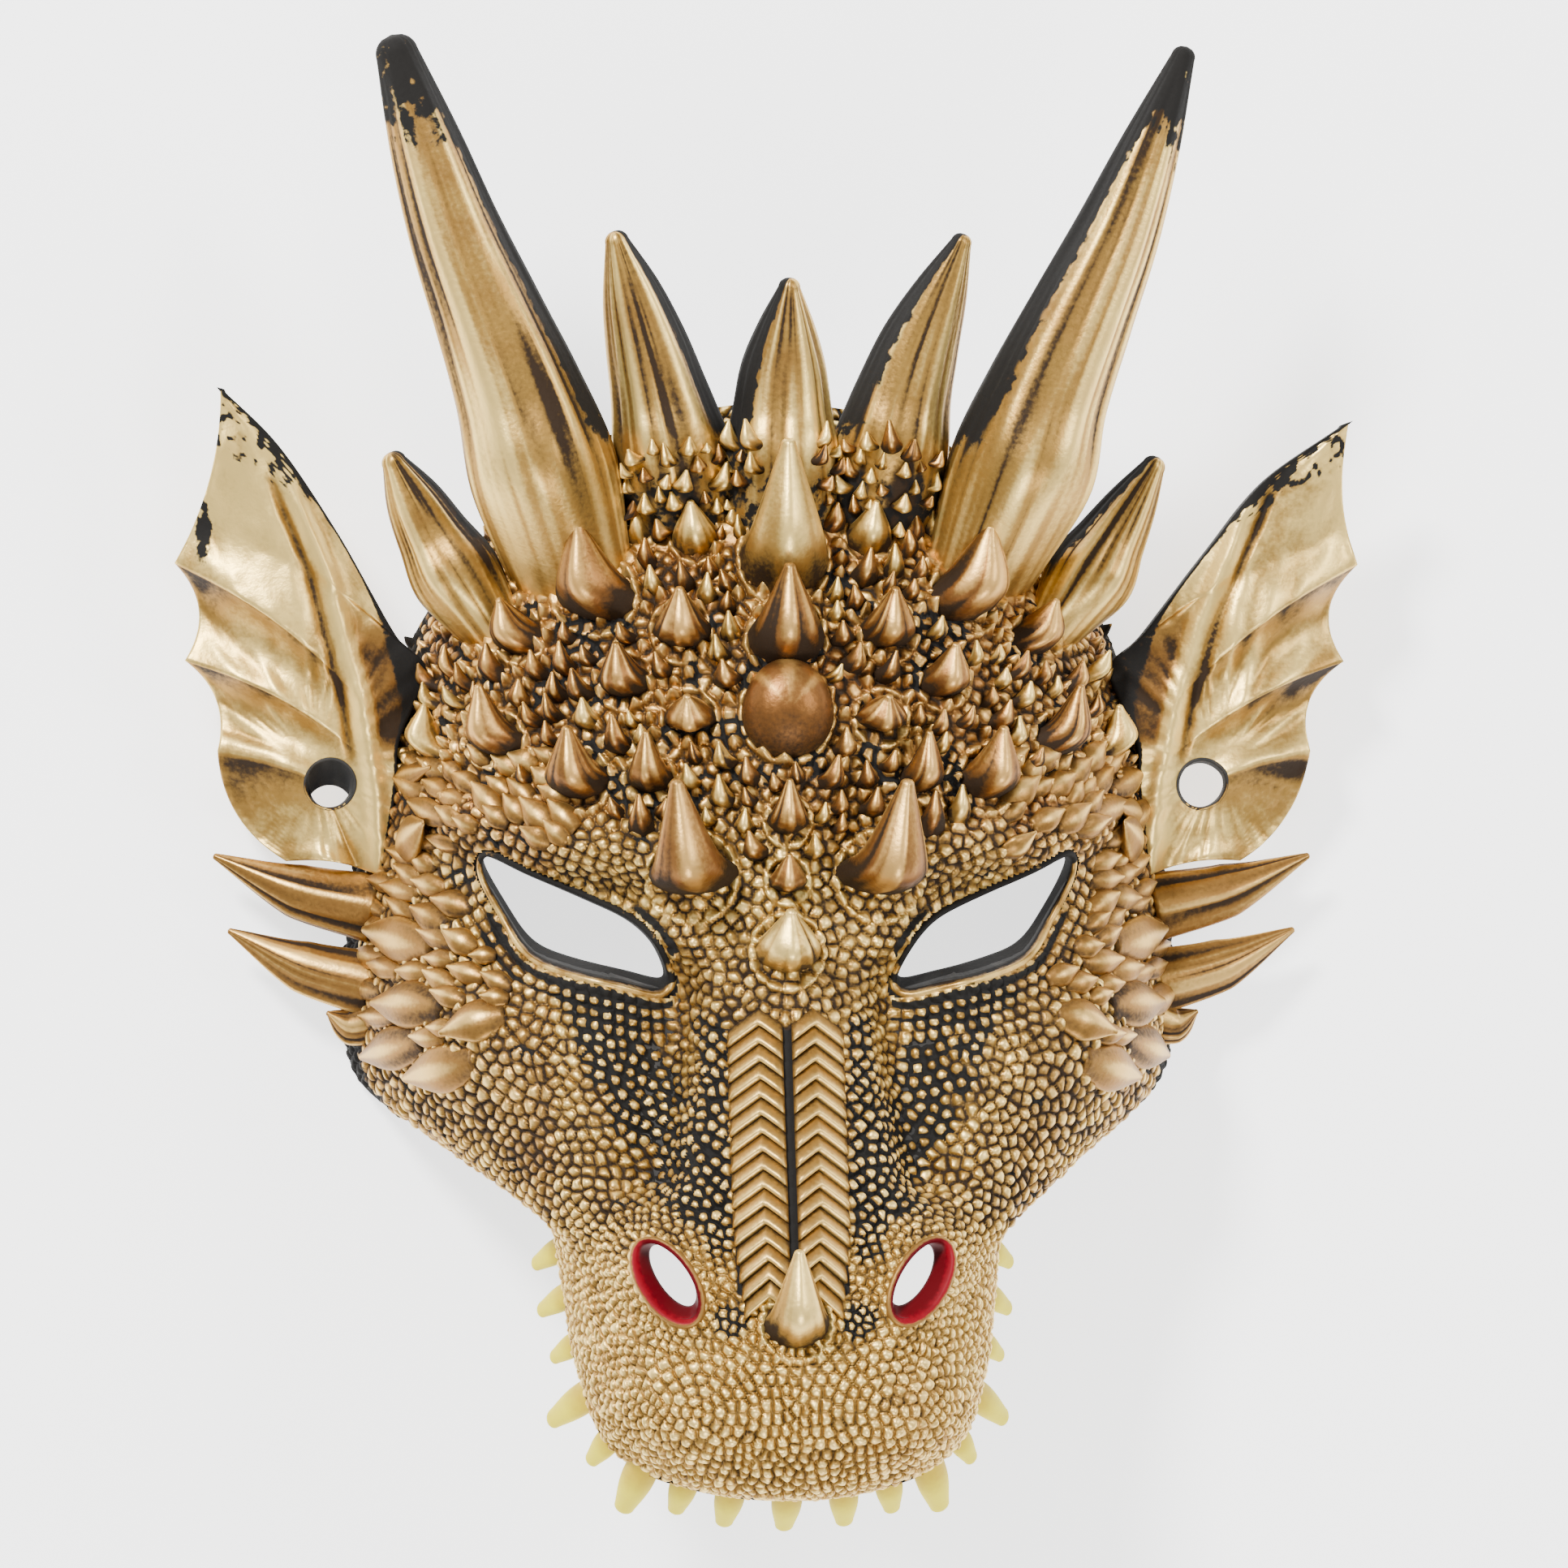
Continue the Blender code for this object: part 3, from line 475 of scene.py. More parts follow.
@dataclass
class FaceForm:
    """The face as carved, before its scales: sections from the crown to the lip, swells and ridges.

    A section is its middle y and z, its rim x, y and z, how square it is and the angle at which it ends.
    """

    sections: tuple[tuple[float, ...], ...] = (
        (77.0, 44.0, 34.0, 70.5, 37.0, 2.0, 30.0),
        (66.0, 52.5, 55.0, 54.0, 27.0, 2.0, 46.0),
        (50.0, 61.0, 68.5, 36.5, 12.0, 2.1, 62.0),
        (26.0, 69.5, 79.0, 14.0, -3.0, 2.2, 78.0),
        (2.0, 73.0, 82.5, -3.0, -3.0, 2.1, 84.0),
        (-22.0, 72.0, 85.0, -23.0, -3.0, 2.0, 84.0),
        (-46.0, 74.0, 87.0, -45.0, -3.0, 1.9, 84.0),
        (-68.0, 82.0, 82.5, -61.5, 2.0, 1.9, 82.0),
        (-86.0, 90.0, 66.5, -73.0, 16.0, 2.0, 82.0),
        (-102.0, 95.5, 48.0, -84.0, 36.0, 2.4, 84.0),
        (-117.0, 97.5, 44.0, -98.0, 47.0, 2.7, 84.0),
        (-131.0, 94.0, 42.0, -114.0, 56.0, 2.7, 78.0),
        (-140.5, 85.0, 37.0, -129.0, 64.0, 2.4, 62.0),
        (-143.0, 75.0, 30.0, -137.0, 70.0, 2.0, 44.0),
    )
    swells: tuple[Swell, ...] = (
        Swell(6.0, (60.0, -50.0), 26.0, 20.0, 35.0),
        Swell(-5.5, (42.0, -27.0), 26.0, 14.0, -22.0),
        Swell(5.0, (26.0, -97.0), 16.0, 13.0, 60.0),
        Swell(2.5, (23.0, -126.0), 20.0, 13.0, 0.0),
        Swell(3.0, (26.0, 38.0), 26.0, 20.0, 30.0),
    )
    ridges: tuple[Ridge, ...] = (
        Ridge(4.5, (0.0, -42.0), (0.0, -97.0), 15.0),
        Ridge(-9.0, (25.0, -42.0), (30.0, -74.0), 12.0),
        Ridge(4.5, (19.0, -17.0), (62.0, -7.0), 10.0),
        Ridge(3.0, (0.0, 66.0), (0.0, -28.0), 16.0),
        Ridge(2.5, (66.0, -30.0), (30.0, -44.0), 7.0),
    )
    wall: float = 5.0
    measured_rows: int = 300
    measured_columns: int = 301

    def bare(self, sections: Array, across: Array) -> Array:
        """Finds points of the face without its carving.

        Args:
            sections: rows of sections.
            across: places across the face from -1 to 1.

        Returns:
            The points.
        """
        mid_y, mid_z, rim_x, rim_y, rim_z, square, end = (sections[..., k] for k in range(7))
        end = np.radians(end)
        angle = np.abs(across) * end
        out = (np.sin(angle) / np.sin(end)) ** (2 / square)
        drop = (1 - np.cos(angle) ** (2 / square)) / (1 - np.cos(end) ** (2 / square))
        x = np.sign(across) * rim_x * out
        return np.stack([x, mid_y + (rim_y - mid_y) * drop, mid_z + (rim_z - mid_z) * drop], -1)

    def carve(self, points: Array) -> Array:
        """Raises the swells and ridges on a grid of bare points.

        Args:
            points: rows by columns of points.

        Returns:
            Rows by columns of carved points.
        """
        x, y = np.abs(points[..., 0]), points[..., 1]
        rise = sum(form.at(x, y) for form in self.swells + self.ridges)
        return points + grid_normals(points) * rise[..., None]

    def grid(self, rows: int, columns: int) -> Array:
        """Spreads points evenly over the carved face.

        Args:
            rows: rows from the crown to the lip.
            columns: points from rim to rim.

        Returns:
            Rows by columns of points.
        """
        places = np.linspace(0, len(self.sections) - 1, self.measured_rows)
        across = np.linspace(-1, 1, self.measured_columns)
        fine = self.carve(self.bare(catmull(self.sections, places)[:, None, :], across[None, :]))
        steps = np.linalg.norm(np.diff(fine, axis=0), axis=-1).mean(axis=1)
        length = np.concatenate([[0], np.cumsum(steps)])
        at = np.interp(np.linspace(0, length[-1], rows), length, places)
        picked = self.carve(self.bare(catmull(self.sections, at)[:, None, :], across[None, :]))
        grid = np.empty((rows, columns, 3))
        for row, line in enumerate(picked):
            run = np.concatenate([[0], np.cumsum(np.linalg.norm(np.diff(line, axis=0), axis=1))])
            even = np.linspace(0, run[-1], columns)
            for k in range(3):
                grid[row, :, k] = np.interp(even, run, line[:, k])
        return grid


class Surface:
    """A grid of points as a surface, to find what lies on it at a place in front view."""

    def __init__(self, grid: Array, forms: tuple[Form, ...] = ()) -> None:
        """Files the faces of a grid, and of the forms that stand on it, for looking up.

        Args:
            grid: rows by columns of points.
            forms: the forms.
        """
        points, faces = grid.reshape(-1, 3).tolist(), grid_quads(*grid.shape[:2]).tolist()
        for form in forms:
            faces += [[corner + len(points) for corner in face] for face in form.faces]
            points += [list(point) for point in form.points]
        self.tree = BVHTree.FromPolygons(points, faces)

    def at(self, x: float, y: float) -> tuple[Array, Array]:
        """Finds the surface in front of a place.

        Args:
            x: distance from the middle line.
            y: distance up the face.

        Returns:
            The point on the surface, and its outward normal.
        """
        point, normal, _, _ = self.tree.ray_cast((x, y, 200.0), (0, 0, -1))
        if point is None:
            point, normal, _, _ = self.tree.find_nearest((x, y, 45.0))
        normal = np.array(normal)
        return np.array(point), normal if normal[2] > 0 else -normal

    def many(self, places: Array) -> tuple[Array, Array]:
        """Finds the surface in front of several places: the points and their normals, as rows."""
        found = [self.at(x, y) for x, y in places]
        return np.array([point for point, _ in found]), np.array([normal for _, normal in found])


def ellipse(middle: Place, half_length: float, half_width: float, turn: float, count: int) -> Array:
    """Draws an ellipse whose long axis is turned from +Y towards +X.

    Args:
        middle: its middle.
        half_length: half of its long axis.
        half_width: half of its short axis.
        turn: the angle, in radians.
        count: how many points to give back.

    Returns:
        The points, as rows of x and y.
    """
    angle = np.arange(count) * 2 * math.pi / count
    along, aside = half_length * np.cos(angle), half_width * np.sin(angle)
    x = middle[0] + along * math.sin(turn) + aside * math.cos(turn)
    y = middle[1] + along * math.cos(turn) - aside * math.sin(turn)
    return np.stack([x, y], -1)


def outward(outline: Array) -> Array:
    """Finds the directions that lead straight out of a closed outline.

    Args:
        outline: its points, as rows of x and y.

    Returns:
        One unit direction for each point.
    """
    along = np.roll(outline, -1, axis=0) - np.roll(outline, 1, axis=0)
    out = unit(np.stack([along[:, 1], -along[:, 0]], -1))
    return out if ((outline - outline.mean(0)) * out).sum() > 0 else -out


def outline_distance(places: Array, outline: Array) -> Array:
    """Measures how far places lie outside a closed outline, and as a negative number inside it.

    Args:
        places: rows of x and y.
        outline: the outline's points.

    Returns:
        The distances.
    """
    places = np.asarray(places, float)
    least = np.full(len(places), 1e9)
    inside = np.zeros(len(places), bool)
    for a, b in zip(outline, np.roll(outline, -1, axis=0)):
        share = np.clip(((places - a) @ (b - a)) / max((b - a) @ (b - a), 1e-12), 0, 1)
        least = np.minimum(least, np.linalg.norm(places - a - share[:, None] * (b - a), axis=1))
        crosses = (a[1] > places[:, 1]) != (b[1] > places[:, 1])
        rise = b[1] - a[1] if b[1] != a[1] else 1e-12
        inside ^= crosses & (places[:, 0] < a[0] + (places[:, 1] - a[1]) * (b[0] - a[0]) / rise)
    return np.where(inside, -least, least)


@dataclass
class Openings:
    """The outlines of the eye holes, the nostrils and the strap holes, all in front view."""

    eye: tuple[Place, ...] = (
        *((59.4, -14.6), (50.6, -18.3), (39.5, -23.1), (30.6, -27.5), (25.5, -33.1)),
        *((23.8, -38.9), (31.9, -37.3), (41.8, -34.9), (49.0, -31.8), (54.0, -25.3)),
    )
    eye_lid: float = 2.8
    nostril_length: float = 17.5
    nostril_width: float = 9.1
    nostril_middle: Place = (25.3, -98.4)
    nostril_turn: float = 33.0
    nostril_taper: float = 0.84
    nostril_lean: Place = (-0.9, 0.6)
    lining_shift: Place = (-1.5, 1.1)
    lining_half: Place = (6.9, 3.1)
    strap_middle: Place = (89.5, 0.0)
    strap_radius: float = 4.9
    count: int = 96

    def eye_back(self, side: Side) -> Array:
        """Draws an eye hole where it meets the hollow behind the face."""
        return closed_curve(self.eye, self.count) * (side.value, 1)

    def eye_front(self, side: Side) -> Array:
        """Draws an eye hole on the skin, where its lower lid slopes out."""
        outline = self.eye_back(side)
        out = outward(outline)
        return outline + out * np.clip(-out[:, 1:] * 1.2, 0, 1) * self.eye_lid

    def nostril(self, side: Side, shift: Place, half_length: float, half_width: float) -> Array:
        """Draws an outline of a nostril.

        Args:
            side: the half of the face.
            shift: how far it lies from the nostril's middle, on the right half.
            half_length: half of its length.
            half_width: half of its width.

        Returns:
            The outline.
        """
        x, y = self.nostril_middle[0] + shift[0], self.nostril_middle[1] + shift[1]
        turn = side.value * math.radians(self.nostril_turn)
        return ellipse((side.value * x, y), half_length, half_width, turn, self.count)

    def nostril_front(self, side: Side) -> Array:
        """Draws a nostril on the skin."""
        return self.nostril(side, (0.0, 0.0), self.nostril_length / 2, self.nostril_width / 2)

    def nostril_back(self, side: Side) -> Array:
        """Draws a nostril where it meets the hollow behind the face."""
        halves = self.nostril_length / 2 * self.nostril_taper, self.nostril_width / 2 * self.nostril_taper
        return self.nostril(side, self.nostril_lean, *halves)

    def nostril_lining(self, side: Side) -> Array:
        """Draws the inner end of a nostril's painted lining, which slopes in from the outer side."""
        return self.nostril(side, self.lining_shift, *self.lining_half)


@dataclass(frozen=True)
class Thorn:
    """One drop-shaped thorn: its foot, width, reach up the face, lean outwards and rise from the skin."""

    name: str
    foot: Place
    width: float
    up: float
    lean: float
    rise: float


def ring_angles(sides: int) -> tuple[Array, Array]:
    """Gives the angles of a ring's points from its keel, and how far each lies from the keel either way."""
    angle = np.arange(sides) * 2 * math.pi / sides
    return angle, np.minimum(angle, 2 * math.pi - angle)


def clear_of(place: Place, taken: list[Point], margin: float) -> bool:
    """Tells whether a place keeps clear of others, each of them an x, a y and a reach."""
    return all(math.dist(place, (x, y)) >= reach + margin for x, y, reach in taken)


def ring_column(path: Array, wide: Array, front: Array, sides: int, depth: float, keel: float) -> Array:
    """Sets rings round a path.

    Args:
        path: the middle of each ring.
        wide: the width of each ring.
        front: the direction that the keel faces.
        sides: points in a ring.
        depth: depth of a ring as a share of its width.
        keel: how much higher the keel stands.

    Returns:
        Rings by sides of points. The first point of a ring lies on the keel.
    """
    tangent = unit(np.gradient(path, axis=0))
    aside = unit(np.cross(tangent, front))
    ahead = np.cross(aside, tangent)
    angle = np.arange(sides) * 2 * math.pi / sides + math.pi / 2
    left = np.cos(angle)[None, :, None] * wide[:, None, None] / 2
    stretch = depth * (1 + keel * np.clip(np.sin(angle), 0, 1) ** 6)
    out = (np.sin(angle) * stretch)[None, :, None] * wide[:, None, None] / 2
    return path[:, None] + aside[:, None] * left + ahead[:, None] * out


def foot_ring(
    path: Array, width: float, front: Array, sides: int, spread: float, skin: Surface, deep: float
) -> Array:
    """Sets a horn's first ring inside the wall of the face.

    Args:
        path: the horn's path, of which the first two points are used.
        width: the width of the foot.
        front: the direction that the keel faces.
        sides: points in the ring.
        spread: length of the foot up the face, as a share of its width.
        skin: the face.
        deep: how far under the skin the ring lies.

    Returns:
        The ring's points.
    """
    tangent = unit(path[1] - path[0])
    aside = unit(np.cross(tangent, front))
    angle = np.arange(sides) * 2 * math.pi / sides + math.pi / 2
    left = np.cos(angle)[:, None] * width / 2
    out = np.sin(angle)[:, None] * width / 2
    places = path[0] + aside * left - tangent * out * spread
    points, normals = skin.many(places[:, :2])
    return points - normals * deep


def refined(rings: Array, count: int) -> Array:
    """Runs smooth lines through the points of a few rings, and gives back as many rings as are asked for."""
    rows = rings.reshape(len(rings), -1)
    return catmull(rows, np.linspace(0, len(rings) - 1, count)).reshape(count, *rings.shape[1:])


def blunt_end(rings: Array, length: float, steps: int = 5) -> tuple[Array, Array]:
    """Rounds off the tip of a horn.

    Args:
        rings: rings by sides of points.
        length: how far the tip reaches past the last ring.
        steps: how many rings round it off.

    Returns:
        The rings with the rounded ones added, and the tip.
    """
    middle = rings.mean(axis=1)
    way = unit(middle[-1] - middle[-2])
    added = []
    for share in np.linspace(0, 1, steps + 1)[1:-1]:
        size = math.sqrt(1 - share**2)
        added.append(middle[-1] + (rings[-1] - middle[-1]) * size + way * length * share)
    return np.concatenate([rings, added]), middle[-1] + way * length


# The sub-assemblies of the mask. Each class holds its sizes, and builds and dresses its own pieces.


@dataclass
class Thorns:
    """The thorns of the forehead, brow and nose, leaning up the face."""

    skin: Surface
    paired: tuple[Thorn, ...] = (
        Thorn("temple", (37.5, 38.0), 14.0, 15.0, 1.5, 9.0),
        Thorn("crest", (20.7, 30.5), 10.5, 10.0, 0.5, 6.5),
        Thorn("crest_low", (32.2, 20.5), 9.5, 9.0, 1.0, 5.5),
        Thorn("boss", (19.3, 13.1), 9.5, 5.0, 0.5, 5.5),
        Thorn("brow_outer", (57.3, 9.0), 10.0, 13.0, 1.5, 6.0),
        Thorn("brow_middle", (41.6, 1.0), 11.5, 13.0, 1.0, 6.5),
        Thorn("brow_inner", (27.3, 1.0), 8.5, 12.0, 0.5, 5.5),
        Thorn("ear_foot", (70.5, 8.0), 8.5, 9.0, -2.0, 4.5),
        Thorn("temple_low", (52.6, 30.0), 9.5, 7.0, 2.0, 5.0),
        Thorn("hairline", (17.5, 49.5), 8.5, 7.0, 1.0, 4.5),
        Thorn("brow_horn", (18.9, -18.5), 15.5, 28.0, 3.6, 12.0),
    )
    middle: tuple[Thorn, ...] = (
        Thorn("forehead_horn", (0.0, 45.0), 16.0, 27.0, 0.0, 11.0),
        Thorn("forehead_boss", (0.0, 29.0), 14.0, 17.0, 0.0, 8.0),
        Thorn("third_eye", (0.0, 14.0), 16.5, 2.0, 0.0, 7.5),
        Thorn("brow_drop", (0.0, -7.5), 8.0, 11.0, 0.0, 4.5),
        Thorn("brow_bead", (0.0, -19.5), 7.5, 7.0, 0.0, 4.0),
        Thorn("nose_root", (0.0, -33.5), 12.5, 9.0, 0.0, 6.5),
        Thorn("nose_horn", (0.0, -106.5), 12.0, 20.0, 0.0, 6.0),
    )
    widths: Point = (1.05, 0.72, 0.16)
    foot_length: float = 1.1
    reach: float = 0.75
    middle_at: float = 0.45
    belly: float = 0.22
    sag: float = 0.14
    tilt: float = 0.4
    standing: Point = (0.35, 0.6, 1.0)
    sides: int = 32
    rings: int = 22
    plump: float = 1.16
    under: float = 1.4
    small_sides: int = 14
    small_rings: int = 9
    small_area: tuple[Place, Place] = ((1.5, 76.0), (-24.0, 66.0))
    small_widths: Place = (3.6, 6.2)
    small_tries: int = 2600
    horn_feet: tuple[Point, ...] = (
        *((43.0, 46.0, 13.5), (20.0, 58.0, 10.5), (0.0, 60.0, 9.0), (59.0, 33.0, 7.0)),
    )
    hairline_area: tuple[Place, Place] = ((5.5, 31.5), (49.0, 68.0))
    hairline_widths: Place = (3.0, 5.6)
    hairline_tries: int = 900
    hairline_gaps: tuple[Point, ...] = ((17.5, 50.5, 3.6), (0.0, 54.0, 7.5))
    coppered: tuple[str, ...] = ("crest", "boss", "brow_", "forehead_boss", "third_eye", "temple")

    def placed(self) -> list[Thorn]:
        """Lists every thorn of both sides, with its own name and its foot's real place."""
        every = list(self.middle)
        for side in Side:
            for thorn in self.paired:
                foot = (side.value * thorn.foot[0], thorn.foot[1])
                lean = side.value * thorn.lean
                every.append(replace(thorn, name=f"{thorn.name}_{side.word}", foot=foot, lean=lean))
        return every

    def form(self, thorn: Thorn, seed: int, small: bool = False) -> Form:
        """Shapes one thorn, with a keel down its front and streaks along it.

        Args:
            thorn: the thorn.
            seed: picks its streaks.
            small: whether it is one of the small scales, which are coarser and don't swell.

        Returns:
            The closed form.
        """
        sides, count = (self.small_sides, self.small_rings) if small else (self.sides, self.rings)
        foot, normal = self.skin.at(*thorn.foot)
        stand = unit(normal * self.standing)
        tip = foot + stand * thorn.rise + np.array([thorn.lean, thorn.up * self.reach, 0.0])
        belly = stand * thorn.rise * self.belly - np.array([0, thorn.up * self.sag, 0])
        path = np.array([foot, foot + (tip - foot) * self.middle_at + belly, tip])
        front = stand + np.array([0, -self.tilt, 0])
        wide = np.array(self.widths) * thorn.width * (1.0 if small else self.plump)
        coarse = ring_column(path, wide, front, sides, 0.95, 0.1)
        coarse[0] = foot_ring(path, wide[0], front, sides, self.foot_length, self.skin, self.under)
        rings, end = blunt_end(refined(coarse, count), wide[-1] * 0.4)
        centre = rings.mean(axis=1, keepdims=True)
        angle, aside = ring_angles(sides)
        share = np.linspace(0, 1, len(rings))[:, None]
        keel = peak(aside, 0, 0.28)[None, :] * np.sin(share * math.pi) ** 0.7
        fibre = value_noise(np.stack([np.cos(angle) * 3, np.sin(angle) * 3, angle * 0], -1), 0.55, seed)
        streak = fibre[None, :] * np.sin(share * math.pi)
        rings = centre + (rings - centre) * (1 + 0.09 * keel + 0.05 * streak)[..., None]
        copper = float(any(thorn.name.startswith(word) for word in self.coppered))
        # Painted light: a painted highlight down the keel and towards the tip, and painted shade round the
        # foot; the streaks are the paint's own.
        low = 1 - smooth_step(0.12, 0.45, share)
        tops = np.clip(0.50 - 0.16 * copper + 0.58 * keel + 0.65 * streak + 0.30 * share - 0.42 * low, 0, 1)
        spread = np.ones_like(tops)
        # Black on the side away from the keel, as painted shade.
        behind = smooth_step(0.2, 1.0, -np.cos(angle))[None, :] * smooth_step(0.15, 0.5, share)
        paint = {
            "tops": tops,
            "copper": np.clip(spread * copper * (1.05 - 0.35 * share), 0, 1),
            "soot": np.clip(behind * 0.45, 0, 1),
            "tint": spread * (0.5 + 0.3 * math.sin(seed * 2.4)),
        }
        return rings_form(rings, foot - normal * self.under, end, paint)

    def boss(self, thorn: Thorn) -> Form:
        """Shapes the round boss between the brows, a dome with a low peak towards the horns.

        Args:
            thorn: the boss's place and size.

        Returns:
            The closed form.
        """
        foot, normal = self.skin.at(*thorn.foot)
        across = np.arange(self.sides * 2) * math.pi / self.sides
        turned = across - math.pi / 2
        strip = peak(turned, 0, 0.20) + peak(turned, 0.7, 0.12) + peak(turned, -0.7, 0.12)
        ring = np.stack([np.cos(across), np.sin(across)], -1)
        rings, tops = [], []
        for tilt in np.linspace(0, math.radians(84), self.rings):
            reach = thorn.width * 0.56 * math.cos(tilt) ** 0.85
            high = thorn.rise * 0.95 * math.sin(tilt) ** 1.15
            point = np.clip(ring[:, 1], 0, 1) ** 3 * 1.8 * math.cos(tilt)
            places = foot[:2] + ring * (reach + point)[:, None] + (0, 1.2 * math.sin(tilt))
            if tilt == 0:
                on_skin, facing = self.skin.many(places)
                rings.append(on_skin - facing * self.under)
            else:
                rings.append(np.column_stack([places, np.full(len(places), foot[2] + high - 0.4)]))
            # Painted light: lighter towards the top of the dome and on its upper side, as if lit from above,
            # with lighter lines running up it.
            tops.append(0.24 + 0.5 * strip * math.cos(tilt) + 0.18 * math.sin(tilt) + 0.12 * ring[:, 1])
        tops = np.array(tops)
        spread = np.ones_like(tops)
        end = foot + np.array([0, 1.2, thorn.rise * 0.95 - 0.36])
        paint = {"tops": np.clip(tops, 0, 1), "copper": spread, "soot": 0 * spread, "tint": 0.4 * spread}
        return rings_form(np.array(rings), foot - normal * self.under, end, paint)

    def build(self, gold: bpy.types.Material) -> None:
        """Makes every thorn a piece, and the small scales between them one piece a side.

        Args:
            gold: the paint over them.
        """
        for seed, thorn in enumerate(self.placed()):
            form = self.boss(thorn) if thorn.name == "third_eye" else self.form(thorn, seed + 1)
            add_piece(f"thorn_{thorn.name}", form, gold)
        for side in Side:
            small = [self.form(thorn, seed + 200, True) for seed, thorn in enumerate(self.small_ones(side))]
            add_piece(f"forehead_scales_{side.word}", Form.merged(small), gold)

    def build_hairline(self, gold: bpy.types.Material) -> None:
        """Makes the small scales on the feet of the crown and mid horns one piece a side.

        Args:
            gold: the paint over them.
        """
        for side in Side:
            random = np.random.default_rng(70 + side.value)
            taken = list(self.hairline_gaps)
            scales = []
            for seed in range(self.hairline_tries):
                x, y = (random.uniform(*limits) for limits in self.hairline_area)
                width = random.uniform(*self.hairline_widths)
                if y > 74 - x * 0.30 or not clear_of((x, y), taken, width * 0.36):
                    continue
                taken.append((x, y, width * 0.40))
                name = "crest" if random.uniform() < 0.5 else "scale"
                up = width * random.uniform(0.7, 1.5)
                scale = Thorn(name, (side.value * x, y), width, up, random.uniform(-1.2, 1.2), width * 0.45)
                scales.append(self.form(scale, seed, True))
            add_piece(f"hairline_scales_{side.word}", Form.merged(scales), gold)

    def small_ones(self, side: Side) -> list[Thorn]:
        """Scatters small pointed scales between the thorns.

        Args:
            side: the half of the forehead.

        Returns:
            The small scales, as thorns.
        """
        random = np.random.default_rng(40 + side.value)
        taken = [(*thorn.foot, thorn.width * 0.62) for thorn in self.placed()]
        taken += [(side.value * x, y, reach) for x, y, reach in self.horn_feet]
        found: list[Thorn] = []
        for _ in range(self.small_tries):
            x, y = (random.uniform(*limits) for limits in self.small_area)
            width = random.uniform(*self.small_widths)
            if y > 72 - x * 0.72 or y < -16 + x * 0.20 or (x > 16 and y < x * 0.46 - 23):
                continue
            place = (side.value * x, y)
            if not clear_of(place, taken, width * 0.42):
                continue
            taken.append((*place, width * 0.50))
            up = width * random.uniform(0.8, 1.3)
            name = "crest" if random.uniform() < 0.7 else "scale"
            found.append(Thorn(name, place, width, up, side.value * random.uniform(-0.8, 1.6), width * 0.52))
        return found


@dataclass(frozen=True)
class Horn:
    """One horn: the line down its middle, its widths and how far its tip was left bare of paint."""

    name: str
    line: tuple[Point, ...]
    widths: tuple[float, ...]
    rings: int
    bare_tip: float


